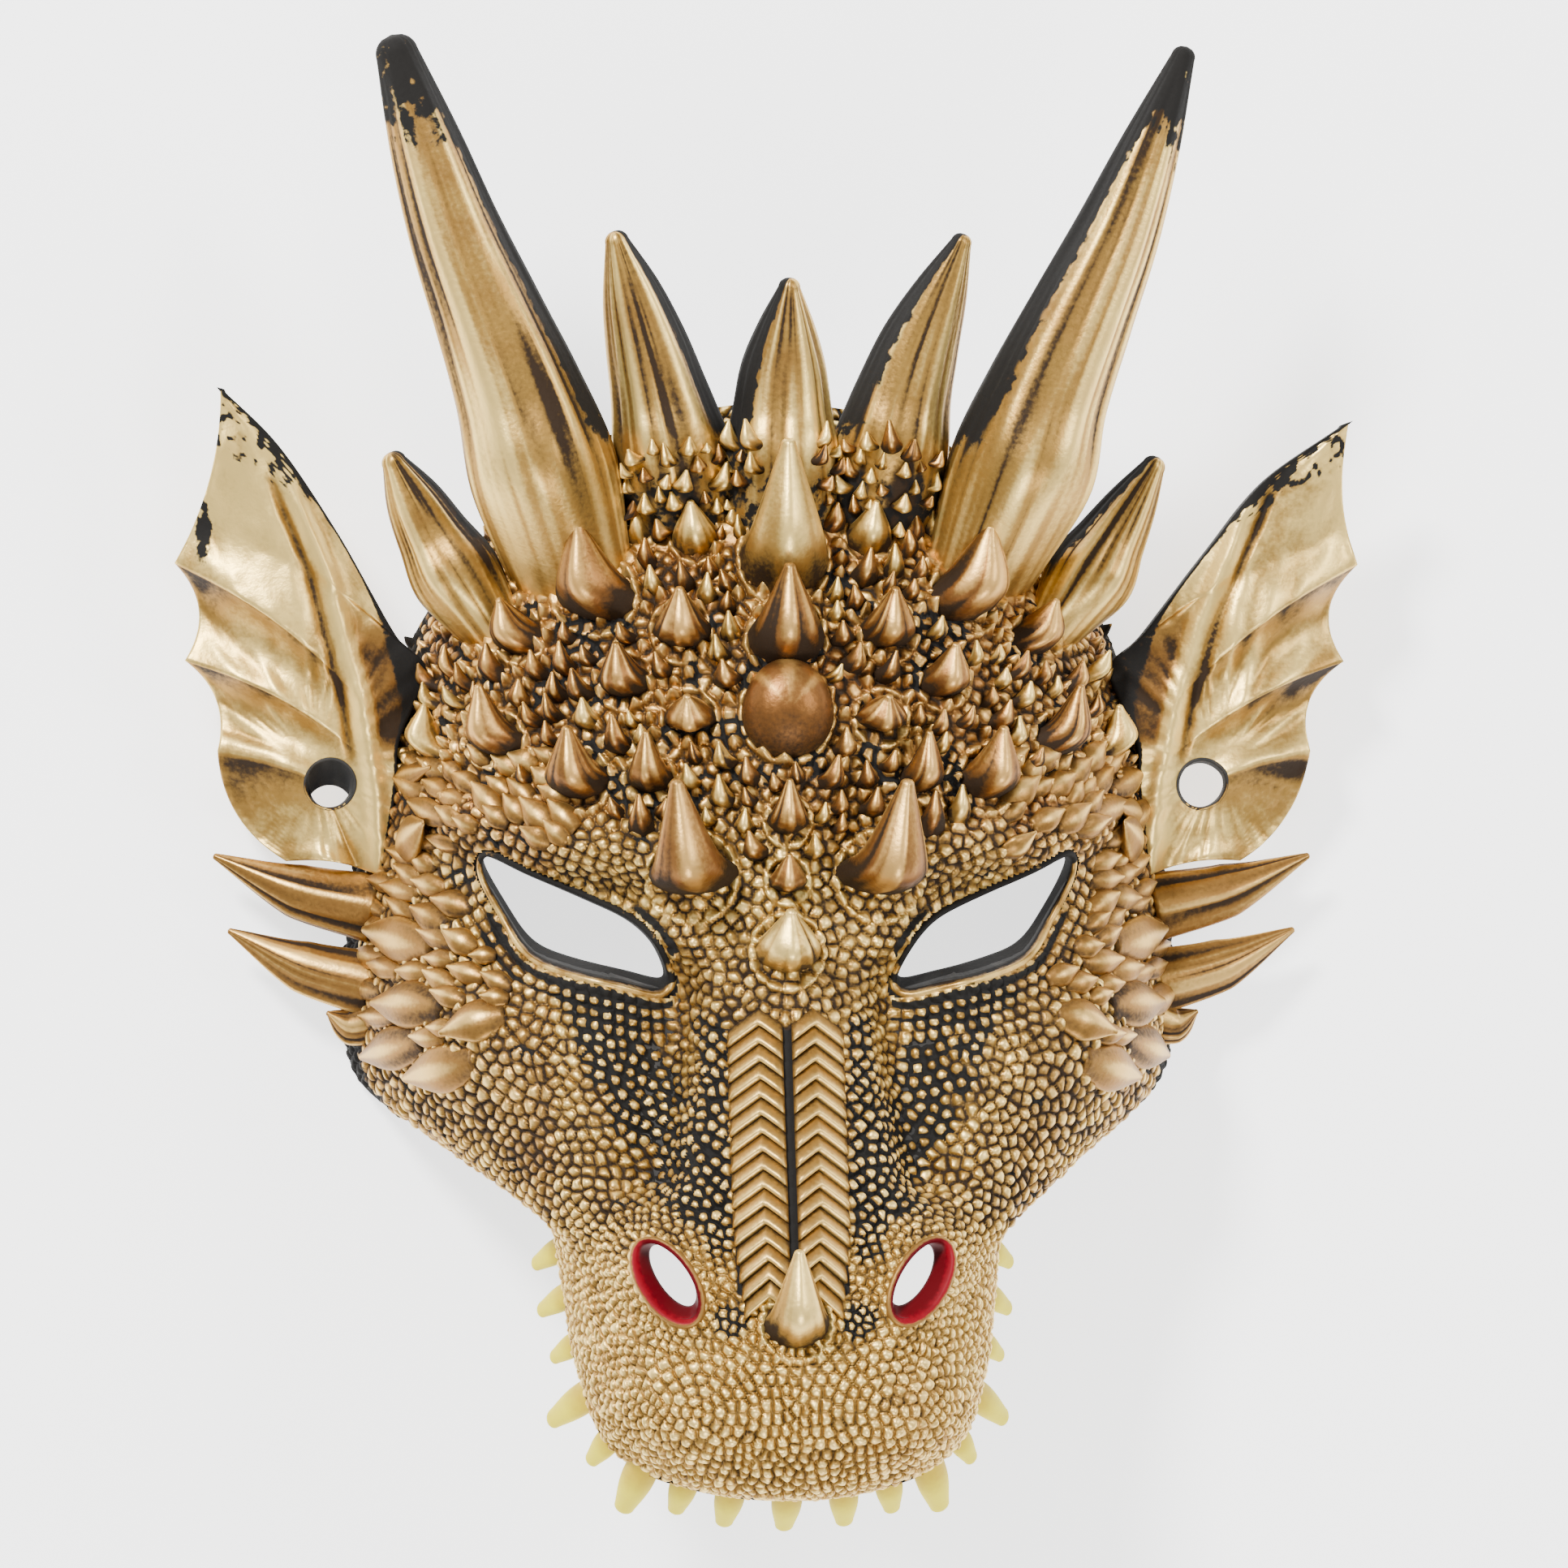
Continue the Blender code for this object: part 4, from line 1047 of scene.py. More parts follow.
@dataclass
class Horns:
    """The two big horns, and the crown, mid and side horns between them."""

    skin: Surface
    horns: tuple[Horn, ...] = (
        Horn(
            "big_horn_left",
            ((-43.0, 46.0, 58.0), (-53.5, 79.0, 65.0), (-66.5, 111.0, 70.0), (-78.0, 145.2, 76.0)),
            (25.0, 30.0, 25.9, 22.0, 18.6, 14.6, 8.6),
            130,
            0.75,
        ),
        Horn(
            "big_horn_right",
            ((43.0, 46.0, 58.0), (53.2, 79.0, 65.0), (66.8, 111.0, 70.0), (79.2, 145.4, 76.0)),
            (25.0, 29.5, 25.3, 21.4, 17.3, 12.0, 4.8),
            130,
            0.9,
        ),
        Horn(
            "mid_horn_left",
            ((-20.0, 58.0, 56.0), (-26.3, 84.0, 62.0), (-34.0, 108.3, 72.0)),
            (27.0, 23.5, 19.5, 16.3, 11.8, 4.8),
            80,
            0.1,
        ),
        Horn(
            "mid_horn_right",
            ((20.0, 58.0, 56.0), (26.0, 84.0, 62.0), (35.0, 108.3, 72.0)),
            (27.0, 23.5, 19.5, 16.0, 11.0, 4.2),
            80,
            0.3,
        ),
        Horn(
            "crown_horn",
            ((0.0, 56.0, 60.0), (0.0, 80.0, 62.0), (0.6, 99.3, 71.0)),
            (26.0, 23.0, 20.0, 17.0, 11.5, 4.4),
            76,
            0.1,
        ),
        Horn(
            "side_horn_left",
            ((-59.0, 33.0, 38.0), (-69.3, 50.5, 38.0), (-77.2, 65.0, 42.0)),
            (13.0, 18.5, 15.0, 11.5, 5.2),
            64,
            0.0,
        ),
        Horn(
            "side_horn_right",
            ((59.0, 33.0, 38.0), (69.3, 50.5, 38.0), (77.2, 64.6, 42.0)),
            (13.0, 18.0, 14.0, 10.0, 4.8),
            64,
            0.3,
        ),
    )
    depth: float = 0.74
    keel: float = 0.22
    foot_length: float = 0.7
    sides: int = 96
    under: float = 1.6
    groove: float = 0.8
    ridge_rise: float = 0.9
    fibre_rise: float = 0.35

    def form(self, horn: Horn, seed: int) -> Form:
        """Shapes one horn: twin ridges with a groove between them down its front, and fibres along it.

        Args:
            horn: the horn.
            seed: picks its fibres.

        Returns:
            The closed form.
        """
        up = np.array([0.0, 0.0, 1.0])
        count = len(horn.widths)
        path = catmull(horn.line, np.linspace(0, len(horn.line) - 1, count))
        coarse = ring_column(path, np.array(horn.widths), up, self.sides, self.depth, self.keel)
        coarse[0] = foot_ring(path, horn.widths[0], up, self.sides, self.foot_length, self.skin, self.under)
        rings, end = blunt_end(refined(coarse, horn.rings), horn.widths[-1] * 0.45, 7)
        centre = rings.mean(axis=1, keepdims=True)
        away = rings - centre
        angle, aside = ring_angles(self.sides)
        share = np.linspace(0, 1, len(rings))[:, None]
        along = smooth_step(0.1, 0.3, share) * (1 - smooth_step(0.88, 1.0, share))
        groove, crest, flank = peak(aside, 0, 0.17), peak(aside, 0.5, 0.2), peak(aside, 1.15, 0.22)
        reach = np.linalg.norm(rings[:, :1] - centre, axis=-1)
        size = np.clip(reach / 9.0, 0.25, 1.1)
        round_place = np.stack([np.cos(angle), np.sin(angle), angle * 0], -1) * 2.6
        fibres = []
        for row in share[:, 0]:
            place = round_place + np.array([0, 0, row * len(rings) * 0.007])
            coarse, fine = value_noise(place, 0.42, seed), value_noise(place * 2.3, 0.42, seed + 9)
            fibres.append(coarse * 0.6 + fine * 0.4)
        fibre = np.array(fibres)
        rise = (crest * self.ridge_rise - groove * self.groove - flank * 0.45)[None, :] * along * size
        rise = rise + fibre * self.fibre_rise * size * smooth_step(0.04, 0.2, share)
        radius = np.linalg.norm(away, axis=-1)
        rings = centre + away * (1 + rise / np.maximum(radius, 1.5))[..., None]
        world_left = -away[..., 0] / np.maximum(radius, 1e-6)
        on_left = centre[0, 0, 0] < -4
        inner = -world_left if on_left else world_left
        shade = smooth_step(0.72 if on_left else 0.52, 0.95 if on_left else 0.92, inner)
        shade = shade * smooth_step(0.08, 0.30, share)
        below = smooth_step(0.15, 0.8, -np.cos(angle))[None, :]
        tip = smooth_step(0.74, 0.90, share + fibre * 0.08) * horn.bare_tip
        # Painted light: a painted highlight on the twin ridges, and painted shade in the groove, on the
        # flanks and along the inner side; the fibres and score lines are the paint's own.
        tops = 0.62 + 0.38 * crest[None, :] * along - 0.34 * groove[None, :] * along + 0.72 * fibre
        tops = tops - 0.40 * smooth_step(-0.05, 0.6, inner) * smooth_step(0.05, 0.3, share)
        scores = peak(aside, 0.30, 0.06) + peak(aside, 0.72, 0.05)
        tops = tops - 0.34 * scores[None, :] * along
        flat = rings.reshape(-1, 3)
        mottle = value_noise(flat, 5.0, seed + 30).reshape(tops.shape)
        speckle = value_noise(flat, 1.6, seed + 40).reshape(tops.shape)
        hairline = (1 - smooth_step(60, 68, rings[..., 1])) * horn.name.startswith(("mid", "crown"))
        # Black along the inner flank and at the tip, where the foam is bare, and darker round the feet of the
        # crown and mid horns; black on the underside as painted shade.
        soot = 1.15 * shade + 0.9 * speckle * shade * (1 - shade) + below * 0.8 + tip * (1.15 + 0.4 * speckle)
        soot = soot + (0.12 * mottle + 0.22 * speckle) * along + hairline * (0.55 + 0.35 * speckle)
        paint = {
            "tops": np.clip(tops - 0.22 * flank[None, :] * along - 0.35 * hairline, 0, 1),
            "copper": np.clip(0.14 + 0.30 * mottle, 0, 1) * smooth_step(0.1, 0.6, share),
            "soot": np.clip(soot, 0, 1),
            "tint": np.full_like(tops, 0.55),
        }
        foot, normal = self.skin.at(*horn.line[0][:2])
        return rings_form(rings, foot - normal * self.under, end, paint)

    def build(self, gold: bpy.types.Material) -> tuple[Form, ...]:
        """Makes every horn a piece.

        Args:
            gold: the paint over them.

        Returns:
            The horns' forms.
        """
        forms = tuple(self.form(horn, seed + 50) for seed, horn in enumerate(self.horns))
        for horn, form in zip(self.horns, forms):
            add_piece(horn.name, form, gold)
        return forms


@dataclass
class Ears:
    """The two ear fins: folds that fan out to a scalloped edge, and a raised rib beside the inner edge."""

    ribs: tuple[tuple[Point, Point, float, int], ...] = (
        ((78.5, -19.0, 15.0), (98.2, -15.8, 12.0), -0.13, 3),
        ((77.0, -8.0, 20.0), (112.3, 6.8, 15.0), 0.17, 4),
        ((76.0, 0.0, 23.0), (119.0, 25.2, 17.0), 0.20, 4),
        ((75.5, 9.0, 25.5), (121.2, 45.0, 22.0), 0.07, 7),
    )
    neck: Point = (70.0, 23.0, 25.0)
    columns: int = 86
    steps: int = 8
    rib_rise: float = 2.6
    bow: float = 0.10
    bow_up: float = 0.7
    edge: Place = (0.5, 0.2)
    root: float = 1.4
    hem: float = 0.9
    thickness: float = 4.2
    tip_half: float = 0.7
    tips_left: tuple[Point, ...] = (
        *((-76.5, 30.5, 28.0), (-87.9, 50.4, 31.0), (-100.2, 68.4, 34.5), (-112.1, 80.1, 38.0)),
    )
    tips_right: tuple[Point, ...] = (
        *((76.5, 30.5, 28.0), (89.3, 47.5, 31.0), (100.6, 61.6, 34.0), (117.7, 73.8, 38.0)),
    )
    band: tuple[Place, ...] = (
        *((79.5, -12.0), (80.3, -1.6), (83.2, 16.3), (87.1, 31.0)),
        *((90.6, 43.9), (95.1, 54.4), (98.5, 63.0)),
    )
    band_rise: float = 1.8
    band_groove: float = 1.1
    hub: Place = (92.7, 3.4)
    stain: Place = (115.6, 51.5)
    slant: Place = (5.0, 0.5)

    def form(self, side: Side) -> Form:
        """Shapes one ear.

        Args:
            side: which ear.

        Returns:
            The closed form.
        """
        tip_line = np.array(self.tips_left if side is Side.LEFT else self.tips_right)
        mirror = side.mirror
        starts = np.array([rib[0] for rib in self.ribs] + [self.neck]) * mirror
        inner_line = np.vstack([starts, tip_line])
        ends = np.vstack([np.array([rib[1] for rib in self.ribs]) * mirror, tip_line[-1]])
        last = len(self.ribs) - 1
        out = np.linspace(0, 1, self.columns)
        from_hub = smooth_step(0.2, 0.6, out)
        lines, measures = [], []
        for number, (_, _, dip, steps) in enumerate(self.ribs):
            start, end = ends[number], ends[number + 1]
            along = end - start
            inward = np.array([-side.value * along[1], side.value * along[0], 0.0])
            count = steps * self.steps
            for share in np.arange(count + (number == last)) / count:
                reach = (len(inner_line) - 1 - last) if number == last else 1
                inner = catmull(inner_line, [number + share * reach])[0]
                outer = start + along * share + inward * dip * 4 * share * (1 - share)
                tipward = share if number == last else 0.0
                width = float(np.linalg.norm(outer - inner))
                ridge = 0.5 + 0.5 * math.cos(2 * math.pi * share)
                sharp = ridge ** (4 if number == last else 2)
                shade = share**2.2 if number != last else 0.0
                fold = (0.3 * sharp + 0.7 * ridge) * self.rib_rise + 0.9 * (ridge**5 - 0.9 * shade)
                bow = width * self.bow * np.sin(out * math.pi)
                lip = self.rib_rise * self.edge[0] * peak(out, 0, self.edge[1])
                line = inner + (outer - inner) * out[:, None]
                line[:, 2] += (bow + lip + fold * from_hub) * (1 - tipward**3)
                line[:, 1] += bow * self.bow_up * (1 - tipward)
                if number == last and share == 1:
                    across = np.linspace(-self.tip_half, self.tip_half, self.columns)[:, None]
                    before = lines[-1].mean(0)
                    line = before + (tip_line[-1] - before) * 0.9 + across * (lines[-1][-1] - lines[-1][0])
                lines.append(line)
                measures.append((tipward, shade, width))
        front = np.array(lines)
        rise, paint = self.dressed(front, np.array(measures), side)
        front[..., 2] += rise
        back = front.copy()
        back[..., 2] -= self.thickness * np.linspace(self.root, self.hem, self.columns)[None, :]
        if side is Side.RIGHT:
            front, back = front[:, ::-1], back[:, ::-1]
            paint = {name: value[:, ::-1] for name, value in paint.items()}
        return sheet_form(front, back, paint)

    def dressed(self, front: Array, measures: Array, side: Side) -> tuple[Array, dict[str, Array]]:
        """Works out an ear's rib, the streaks that fan from its foot, and its paint.

        Args:
            front: rows by columns of points on its front.
            measures: each row's way to the tip, shade below a fold, and width.
            side: which ear.

        Returns:
            How far each point rises, and the paint values.
        """
        tipward, shade, width = (measures[:, k : k + 1] for k in range(3))
        out = np.linspace(0, 1, self.columns)[None, :]
        x, y = front[..., 0] * side.value, front[..., 1]
        band_x, band_y = np.array(self.band).T
        later = 1.5 * smooth_step(30, 46, y) * (side is Side.RIGHT)
        beyond = (x - np.interp(y, band_y, band_x) - later) * 0.85
        fade = 1 - smooth_step(54, 68, y)
        band = peak(beyond, 0, 1.7) * fade
        groove = peak(beyond, 3.3, 0.9) * fade * smooth_step(2, 10, y)
        wedge = smooth_step(1.2, 2.6, -beyond) * smooth_step(2, 12, y) * (1 - smooth_step(26, 40, y))
        # Painted shadow in the gap where the ear meets the head.
        strip = smooth_step(5.5, 7.5, -beyond) * smooth_step(-4, 4, y)
        edge = peak(out * width, 0, 1.0 + peak(y, 35, 7))
        hem = peak((out - 1) * width, 0, 1.2)
        away = np.hypot(x - self.hub[0], y - self.hub[1])
        turn = np.arctan2(y - self.hub[1], x - self.hub[0])
        fan = np.stack([turn * 7.0, away * 0.035, 0 * away], -1).reshape(-1, 3)
        streak = value_noise(fan, 0.8, 60 + side.value) + 0.6 * value_noise(fan * 2.4, 0.8, 64)
        streak = streak.reshape(x.shape) * smooth_step(5, 16, away) * (1 - smooth_step(0.80, 1.0, tipward))
        place = front.reshape(-1, 3)
        grain = value_noise(place * (1, 1, 0.5), 2.4, 5 + side.value).reshape(x.shape)
        speck = value_noise(place * (1, 1, 0.5), 1.1, 25 + side.value).reshape(x.shape)
        stain = peak(x, self.stain[0], 1.9) * peak(y, self.stain[1], 8.0) * (side is Side.LEFT)
        tip = smooth_step(0.50, 0.78, tipward) * np.clip(0.72 + 1.0 * speck - 0.50 * out, 0, 1)
        low = smooth_step(0.45, 0.95, out) * (1 - smooth_step(42, 60, y))
        wide_enough = smooth_step(5, 15, width) * (1 - smooth_step(0.85, 1.0, tipward))
        rise = (band * self.band_rise - groove * self.band_groove + 0.45 * streak + 0.4 * hem) * wide_enough
        rise = rise + 0.15 * grain * smooth_step(0, 0.1, out)
        # Painted light: painted shade below each fold and in the groove beside the band, and a painted
        # highlight on the raised band and the hem; the streaks and grain are the paint's own.
        tops = 0.81 - 0.58 * shade * smooth_step(0.1, 0.5, out) - 0.18 * low + 0.24 * streak
        tops = tops + 0.32 * band - 0.66 * groove - 0.60 * wedge + 0.15 * hem - 0.3 * tip + 0.07 * grain
        soot = 0.95 * edge + 0.30 * groove + 0.7 * strip + tip + stain * (1.1 + 0.6 * speck)
        paint = {
            "tops": np.clip(tops, 0, 1),
            "copper": np.clip(0.22 * shade + 0.85 * wedge + 0.16 * low + 0.3 * tip - 0.12, 0, 1),
            "soot": np.clip(soot, 0, 1),
            "tint": np.clip(0.55 + 0.15 * grain, 0, 1),
        }
        return rise, paint

    def build(self, openings: Openings, gold: bpy.types.Material, foam: bpy.types.Material) -> None:
        """Makes both ears pieces, each with its strap hole and the bare foam inside it.

        Args:
            openings: the outlines of the holes.
            gold: the paint over the ears.
            foam: the finish of the bare foam.
        """
        for side in Side:
            name = side.word
            ear = add_piece(f"ear_{name}", self.form(side), gold)
            middle = (side.value * openings.strap_middle[0], openings.strap_middle[1])
            outline = ellipse(middle, openings.strap_radius, openings.strap_radius, 0.0, 64)
            pierced(ear, [cutter(f"strap_hole_{name}", outline, 2.0, 60.0)])
            self.line_hole(ear, outline, side, foam)

    def line_hole(self, ear: bpy.types.Object, outline: Array, side: Side, foam: bpy.types.Material) -> None:
        """Lines a strap hole with bare foam that slants down towards the back.

        Args:
            ear: the pierced ear.
            outline: the hole's outline.
            side: which ear.
            foam: the finish of the bare foam.
        """
        tree = BVHTree.FromObject(ear, bpy.context.evaluated_depsgraph_get())
        middle = outline.mean(0)
        radius = np.linalg.norm(outline[0] - middle)
        lower = self.slant[0] if side is Side.LEFT else self.slant[1]
        rings = []
        for spot in outline - middle:
            wide, inner = middle + spot * 1.14, middle + spot * 0.97
            high_z, low_z = (
                tree.ray_cast((wide[0] * MM, wide[1] * MM, start), (0, 0, way))[0].z / MM
                for start, way in ((0.2, -1), (-0.1, 1))
            )
            shifted = spot * 0.97 - (0, lower)
            back = middle + shifted * min(1.0, 0.97 * radius / np.linalg.norm(shifted))
            rings.append(
                [
                    (*wide, high_z - 0.8),
                    (*(middle + spot * 1.10), high_z + 0.15),
                    (*(middle + spot * 0.99), high_z + 0.1),
                    (*inner, high_z - 0.4),
                    (*back, low_z + 0.4),
                    (*(middle + spot * 1.08), low_z + 0.05),
                    (*wide, low_z + 0.8),
                ]
            )
        name = f"strap_hole_lining_{side.word}"
        add_piece(name, loop_form(np.array(rings)), foam)


@dataclass
class JawSpikes:
    """The flat spikes that stand out of the jaw below each ear."""

    spikes: tuple[tuple[Point, Point, float], ...] = (
        ((80.0, -25.5, 14.0), (112.5, -14.9, 12.0), 14.5),
        ((80.5, -41.0, 14.0), (109.5, -30.2, 11.0), 14.0),
        ((81.0, -48.0, 13.0), (89.5, -47.0, 12.0), 11.0),
    )
    widths: Point = (1.0, 0.78, 0.10)
    depth: float = 0.52
    keel: float = 0.3
    sag: float = 1.6
    sides: int = 40
    rings: int = 34

    def build(self, gold: bpy.types.Material) -> None:
        """Makes every spike a piece.

        Args:
            gold: the paint over them.
        """
        up = np.array([0.0, 0.0, 1.0])
        for side in Side:
            for number, (foot, tip, width) in enumerate(self.spikes):
                mirror = side.mirror
                start, end = np.array(foot) * mirror, np.array(tip) * mirror
                middle = (start + end) / 2 - np.array([0, self.sag, 0])
                path = catmull([start, middle, end], np.linspace(0, 2, self.rings))
                wide = np.interp(np.linspace(0, 1, self.rings), (0, 0.5, 1), self.widths) * width
                rings = ring_column(path, wide, up, self.sides, self.depth, self.keel)
                rings, point = blunt_end(rings, wide[-1] * 0.45)
                centre = rings.mean(axis=1, keepdims=True)
                angle, aside = ring_angles(self.sides)
                share = np.linspace(0, 1, len(rings))[:, None]
                groove = peak(aside, 0.75, 0.25)[None, :] * (1 - share)
                place = np.stack([np.cos(angle) * 2, np.sin(angle) * 2, angle * 0 + number], -1)
                fibre = value_noise(place, 0.34, number + 70)[None, :] * np.sin(share * math.pi) ** 0.5
                rings = centre + (rings - centre) * (1 - 0.1 * groove + 0.08 * fibre)[..., None]
                spread = np.ones_like(fibre)
                # Painted shade: black on the underside and darker in the groove; the tips are worn dark.
                below = smooth_step(0.1, 0.7, -np.cos(angle))[None, :] * spread
                tip_wear = smooth_step(0.6, 0.9, share) * 0.3
                paint = {
                    "tops": np.clip(0.50 - 0.5 * groove + 0.9 * fibre, 0, 1),
                    "copper": 0.6 * spread,
                    "soot": np.clip(below * 0.9 + tip_wear + 0.45 * groove - 0.4 * fibre, 0, 1),
                    "tint": 0.5 * spread,
                }
                name = f"jaw_spike_{side.word}_{number + 1}"
                add_piece(name, rings_form(rings, start, point, paint), gold)


@dataclass
class CheekScales:
    """Leaf-shaped scales that overlap towards the rim of each cheek."""

    skin: Surface
    openings: Openings
    scales: tuple[tuple[Place, Place, float], ...] = (
        ((76.0, -14.0), (84.0, -8.0), 9.0),
        ((70.0, -33.0), (80.5, -30.0), 9.5),
        ((68.0, -45.0), (79.0, -44.5), 10.0),
        ((62.0, -56.0), (73.0, -59.0), 10.0),
        ((56.0, -46.0), (66.5, -50.0), 9.0),
        ((72.0, -52.0), (81.0, -55.5), 9.0),
    )
    widths: Point = (0.6, 1.0, 0.16)
    depth: float = 0.5
    keel: float = 0.2
    rises: Point = (-1.2, 0.8, 2.2)
    sides: int = 36
    rings: int = 22
    small_sides: int = 16
    small_rings: int = 10
    small_area: tuple[Place, Place] = ((44.0, 82.0), (-64.0, 6.0))
    small_widths: Place = (4.0, 6.6)
    small_tries: int = 1500
    from_eye: float = 7.0
    off_floor: float = 6.0

    def build(self, gold: bpy.types.Material) -> None:
        """Makes every scale a piece.

        Args:
            gold: the paint over them.
        """
        for side in Side:
            for number, scale in enumerate(self.scales):
                name = f"cheek_scale_{side.word}_{number + 1}"
                add_piece(name, self.leaf(side, scale, number, self.sides, self.rings), gold)
            small = [
                self.leaf(side, scale, number + 10, self.small_sides, self.small_rings)
                for number, scale in enumerate(self.small_ones(side))
            ]
            high = [form for form in small if form.points[:, 2].min() > self.off_floor]
            add_piece(f"small_cheek_scales_{side.word}", Form.merged(high), gold)

    def leaf(
        self, side: Side, scale: tuple[Place, Place, float], number: int, sides: int, count: int
    ) -> Form:
        """Shapes one scale, with a crest down its middle.

        Args:
            side: which cheek.
            scale: its foot, tip and width on the right cheek.
            number: picks its tint.
            sides: points in a ring.
            count: rings from its foot to its tip.

        Returns:
            The closed form.
        """
        foot_place, tip_place, width = scale
        foot, front = self.skin.at(side.value * foot_place[0], foot_place[1])
        tip, tip_front = self.skin.at(side.value * tip_place[0], tip_place[1])
        sunk, raised, lifted = np.array(self.rises) * min(1.0, width / 8.5)
        line = [foot + front * sunk, (foot + tip) / 2 + front * raised, tip + tip_front * lifted]
        path = catmull(line, np.linspace(0, 2, count))
        wide = catmull(np.array(self.widths)[:, None], np.linspace(0, 2, count))[:, 0] * width
        rings = ring_column(path, wide, front, sides, self.depth, self.keel)
        rings, point = blunt_end(rings, wide[-1] * 0.45)
        angle, aside = ring_angles(sides)
        share = np.linspace(0, 1, len(rings))[:, None]
        crest = peak(aside, 0, 0.34)[None, :] * np.sin(share * math.pi)
        edge = peak(aside, 1.45, 0.35)[None, :]
        # Painted light: a painted highlight on the crest, the edges and towards the tip, and black painted
        # shade on the underside.
        paint = {
            "tops": np.clip(0.20 + 0.65 * crest + 0.30 * edge + 0.35 * share, 0, 1),
            "copper": np.full_like(crest, 0.55),
            "soot": smooth_step(0.2, 0.8, -np.cos(angle))[None, :] * 0.5 + 0 * crest,
            "tint": np.full_like(crest, 0.5 + 0.35 * math.sin(number * 2.3)),
        }
        return rings_form(rings, line[0], point, paint)

    def small_ones(self, side: Side) -> list[tuple[Place, Place, float]]:
        """Scatters small overlapping scales round the others.

        Args:
            side: which cheek.

        Returns:
            Their feet, tips and widths, as on the right cheek.
        """
        random = np.random.default_rng(60 + side.value)
        eye = self.openings.eye_front(Side.RIGHT)
        taken = [
            ((foot[0] + tip[0]) / 2, (foot[1] + tip[1]) / 2, width * 0.5) for foot, tip, width in self.scales
        ]
        found = []
        for _ in range(self.small_tries):
            x, y = (random.uniform(*limits) for limits in self.small_area)
            width = random.uniform(*self.small_widths)
            if y < -98 + x * 0.62 or x - 58 < -(y + 14) * 0.40 - 12:
                continue
            by_eye = outline_distance(np.array([(x, y)]), eye)[0] < self.from_eye
            if by_eye or not clear_of((x, y), taken, width * 0.30):
                continue
            taken.append((x, y, width * 0.42))
            turn = random.normal(0.35 + (y + 30) * 0.012, 0.18)
            half = width * random.uniform(0.55, 0.75)
            dx, dy = math.cos(turn) * half, math.sin(turn) * half
            found.append(((x - dx, y - dy), (x + dx * 0.8, y + dy * 0.8), width))
        return sorted(found, key=lambda scale: -scale[0][0])


@dataclass
class Teeth:
    """The row of teeth that hangs from the lip, round both sides of the snout."""

    face: Array
    teeth: tuple[tuple[float, float], ...] = (
        *((0.000, 1.05), (0.133, 1.00), (0.245, 0.90), (0.355, 1.25), (0.475, 0.80)),
        *((0.610, 1.20), (0.745, 0.75), (0.875, 0.90), (1.000, 0.85)),
    )
    end_y: float = -93.0
    width: float = 6.0
    length: float = 11.5
    out: float = 0.64
    drop: float = 0.77
    back: float = 0.35
    root: float = 1.6
    even: float = 0.45
    widths: Point = (1.0, 0.98, 0.62)
    depth: float = 0.66
    wall: float = 5.0
    sides: int = 28
    rings: int = 16

    def build(self, enamel: bpy.types.Material) -> None:
        """Makes every tooth a piece.

        Args:
            enamel: the teeth's paint.
        """
        side_line = self.face[::-1, -1][1:]
        half = self.face.shape[1] // 2
        line = np.concatenate([self.face[-1, half:], side_line[side_line[:, 1] < self.end_y]])
        tangents = np.gradient(line, axis=0)
        length = np.concatenate([[0], np.cumsum(np.linalg.norm(np.diff(line, axis=0), axis=1))])
        for number, (share, size) in enumerate(self.teeth):
            foot, tangent = (
                np.array([np.interp(share * length[-1], length, rows[:, k]) for k in range(3)])
                for rows in (line, tangents)
            )
            away = np.array([tangent[1], -tangent[0], 0]) / math.hypot(tangent[0], tangent[1])
            if share == 0:
                foot[0], away = 0.0, np.array([0.0, -1.0, 0.0])
            along = unit(away * self.out + np.array([0, -self.back * away[0], -self.drop]))
            foot = foot - away * self.wall / 2
            start, tip = foot - along * self.root, foot + along * size * self.length
            bend = (start + tip) / 2 + away * 0.35
            wide = self.width * (self.even + (1 - self.even) * size)
            for side in (Side.RIGHT,) if share == 0 else Side:
                mirror = side.mirror
                at = np.linspace(0, 2, self.rings)
                path = catmull(np.array([start, bend, tip]) * mirror, at)
                widths = catmull(np.array(self.widths)[:, None], at)[:, 0] * wide
                rings = ring_column(path, widths, away * mirror, self.sides, self.depth, 0.0)
                rings, end = blunt_end(rings, widths[-1] * 0.5)
                down = np.linspace(0, 1, len(rings))[:, None] + np.zeros((1, self.sides))
                paint = {"root": 1 - smooth_step(0.15, 0.55, down)}
                name = "tooth_1" if share == 0 else f"tooth_{side.word}_{number + 1}"
                add_piece(name, rings_form(rings, path[0], end, paint), enamel)


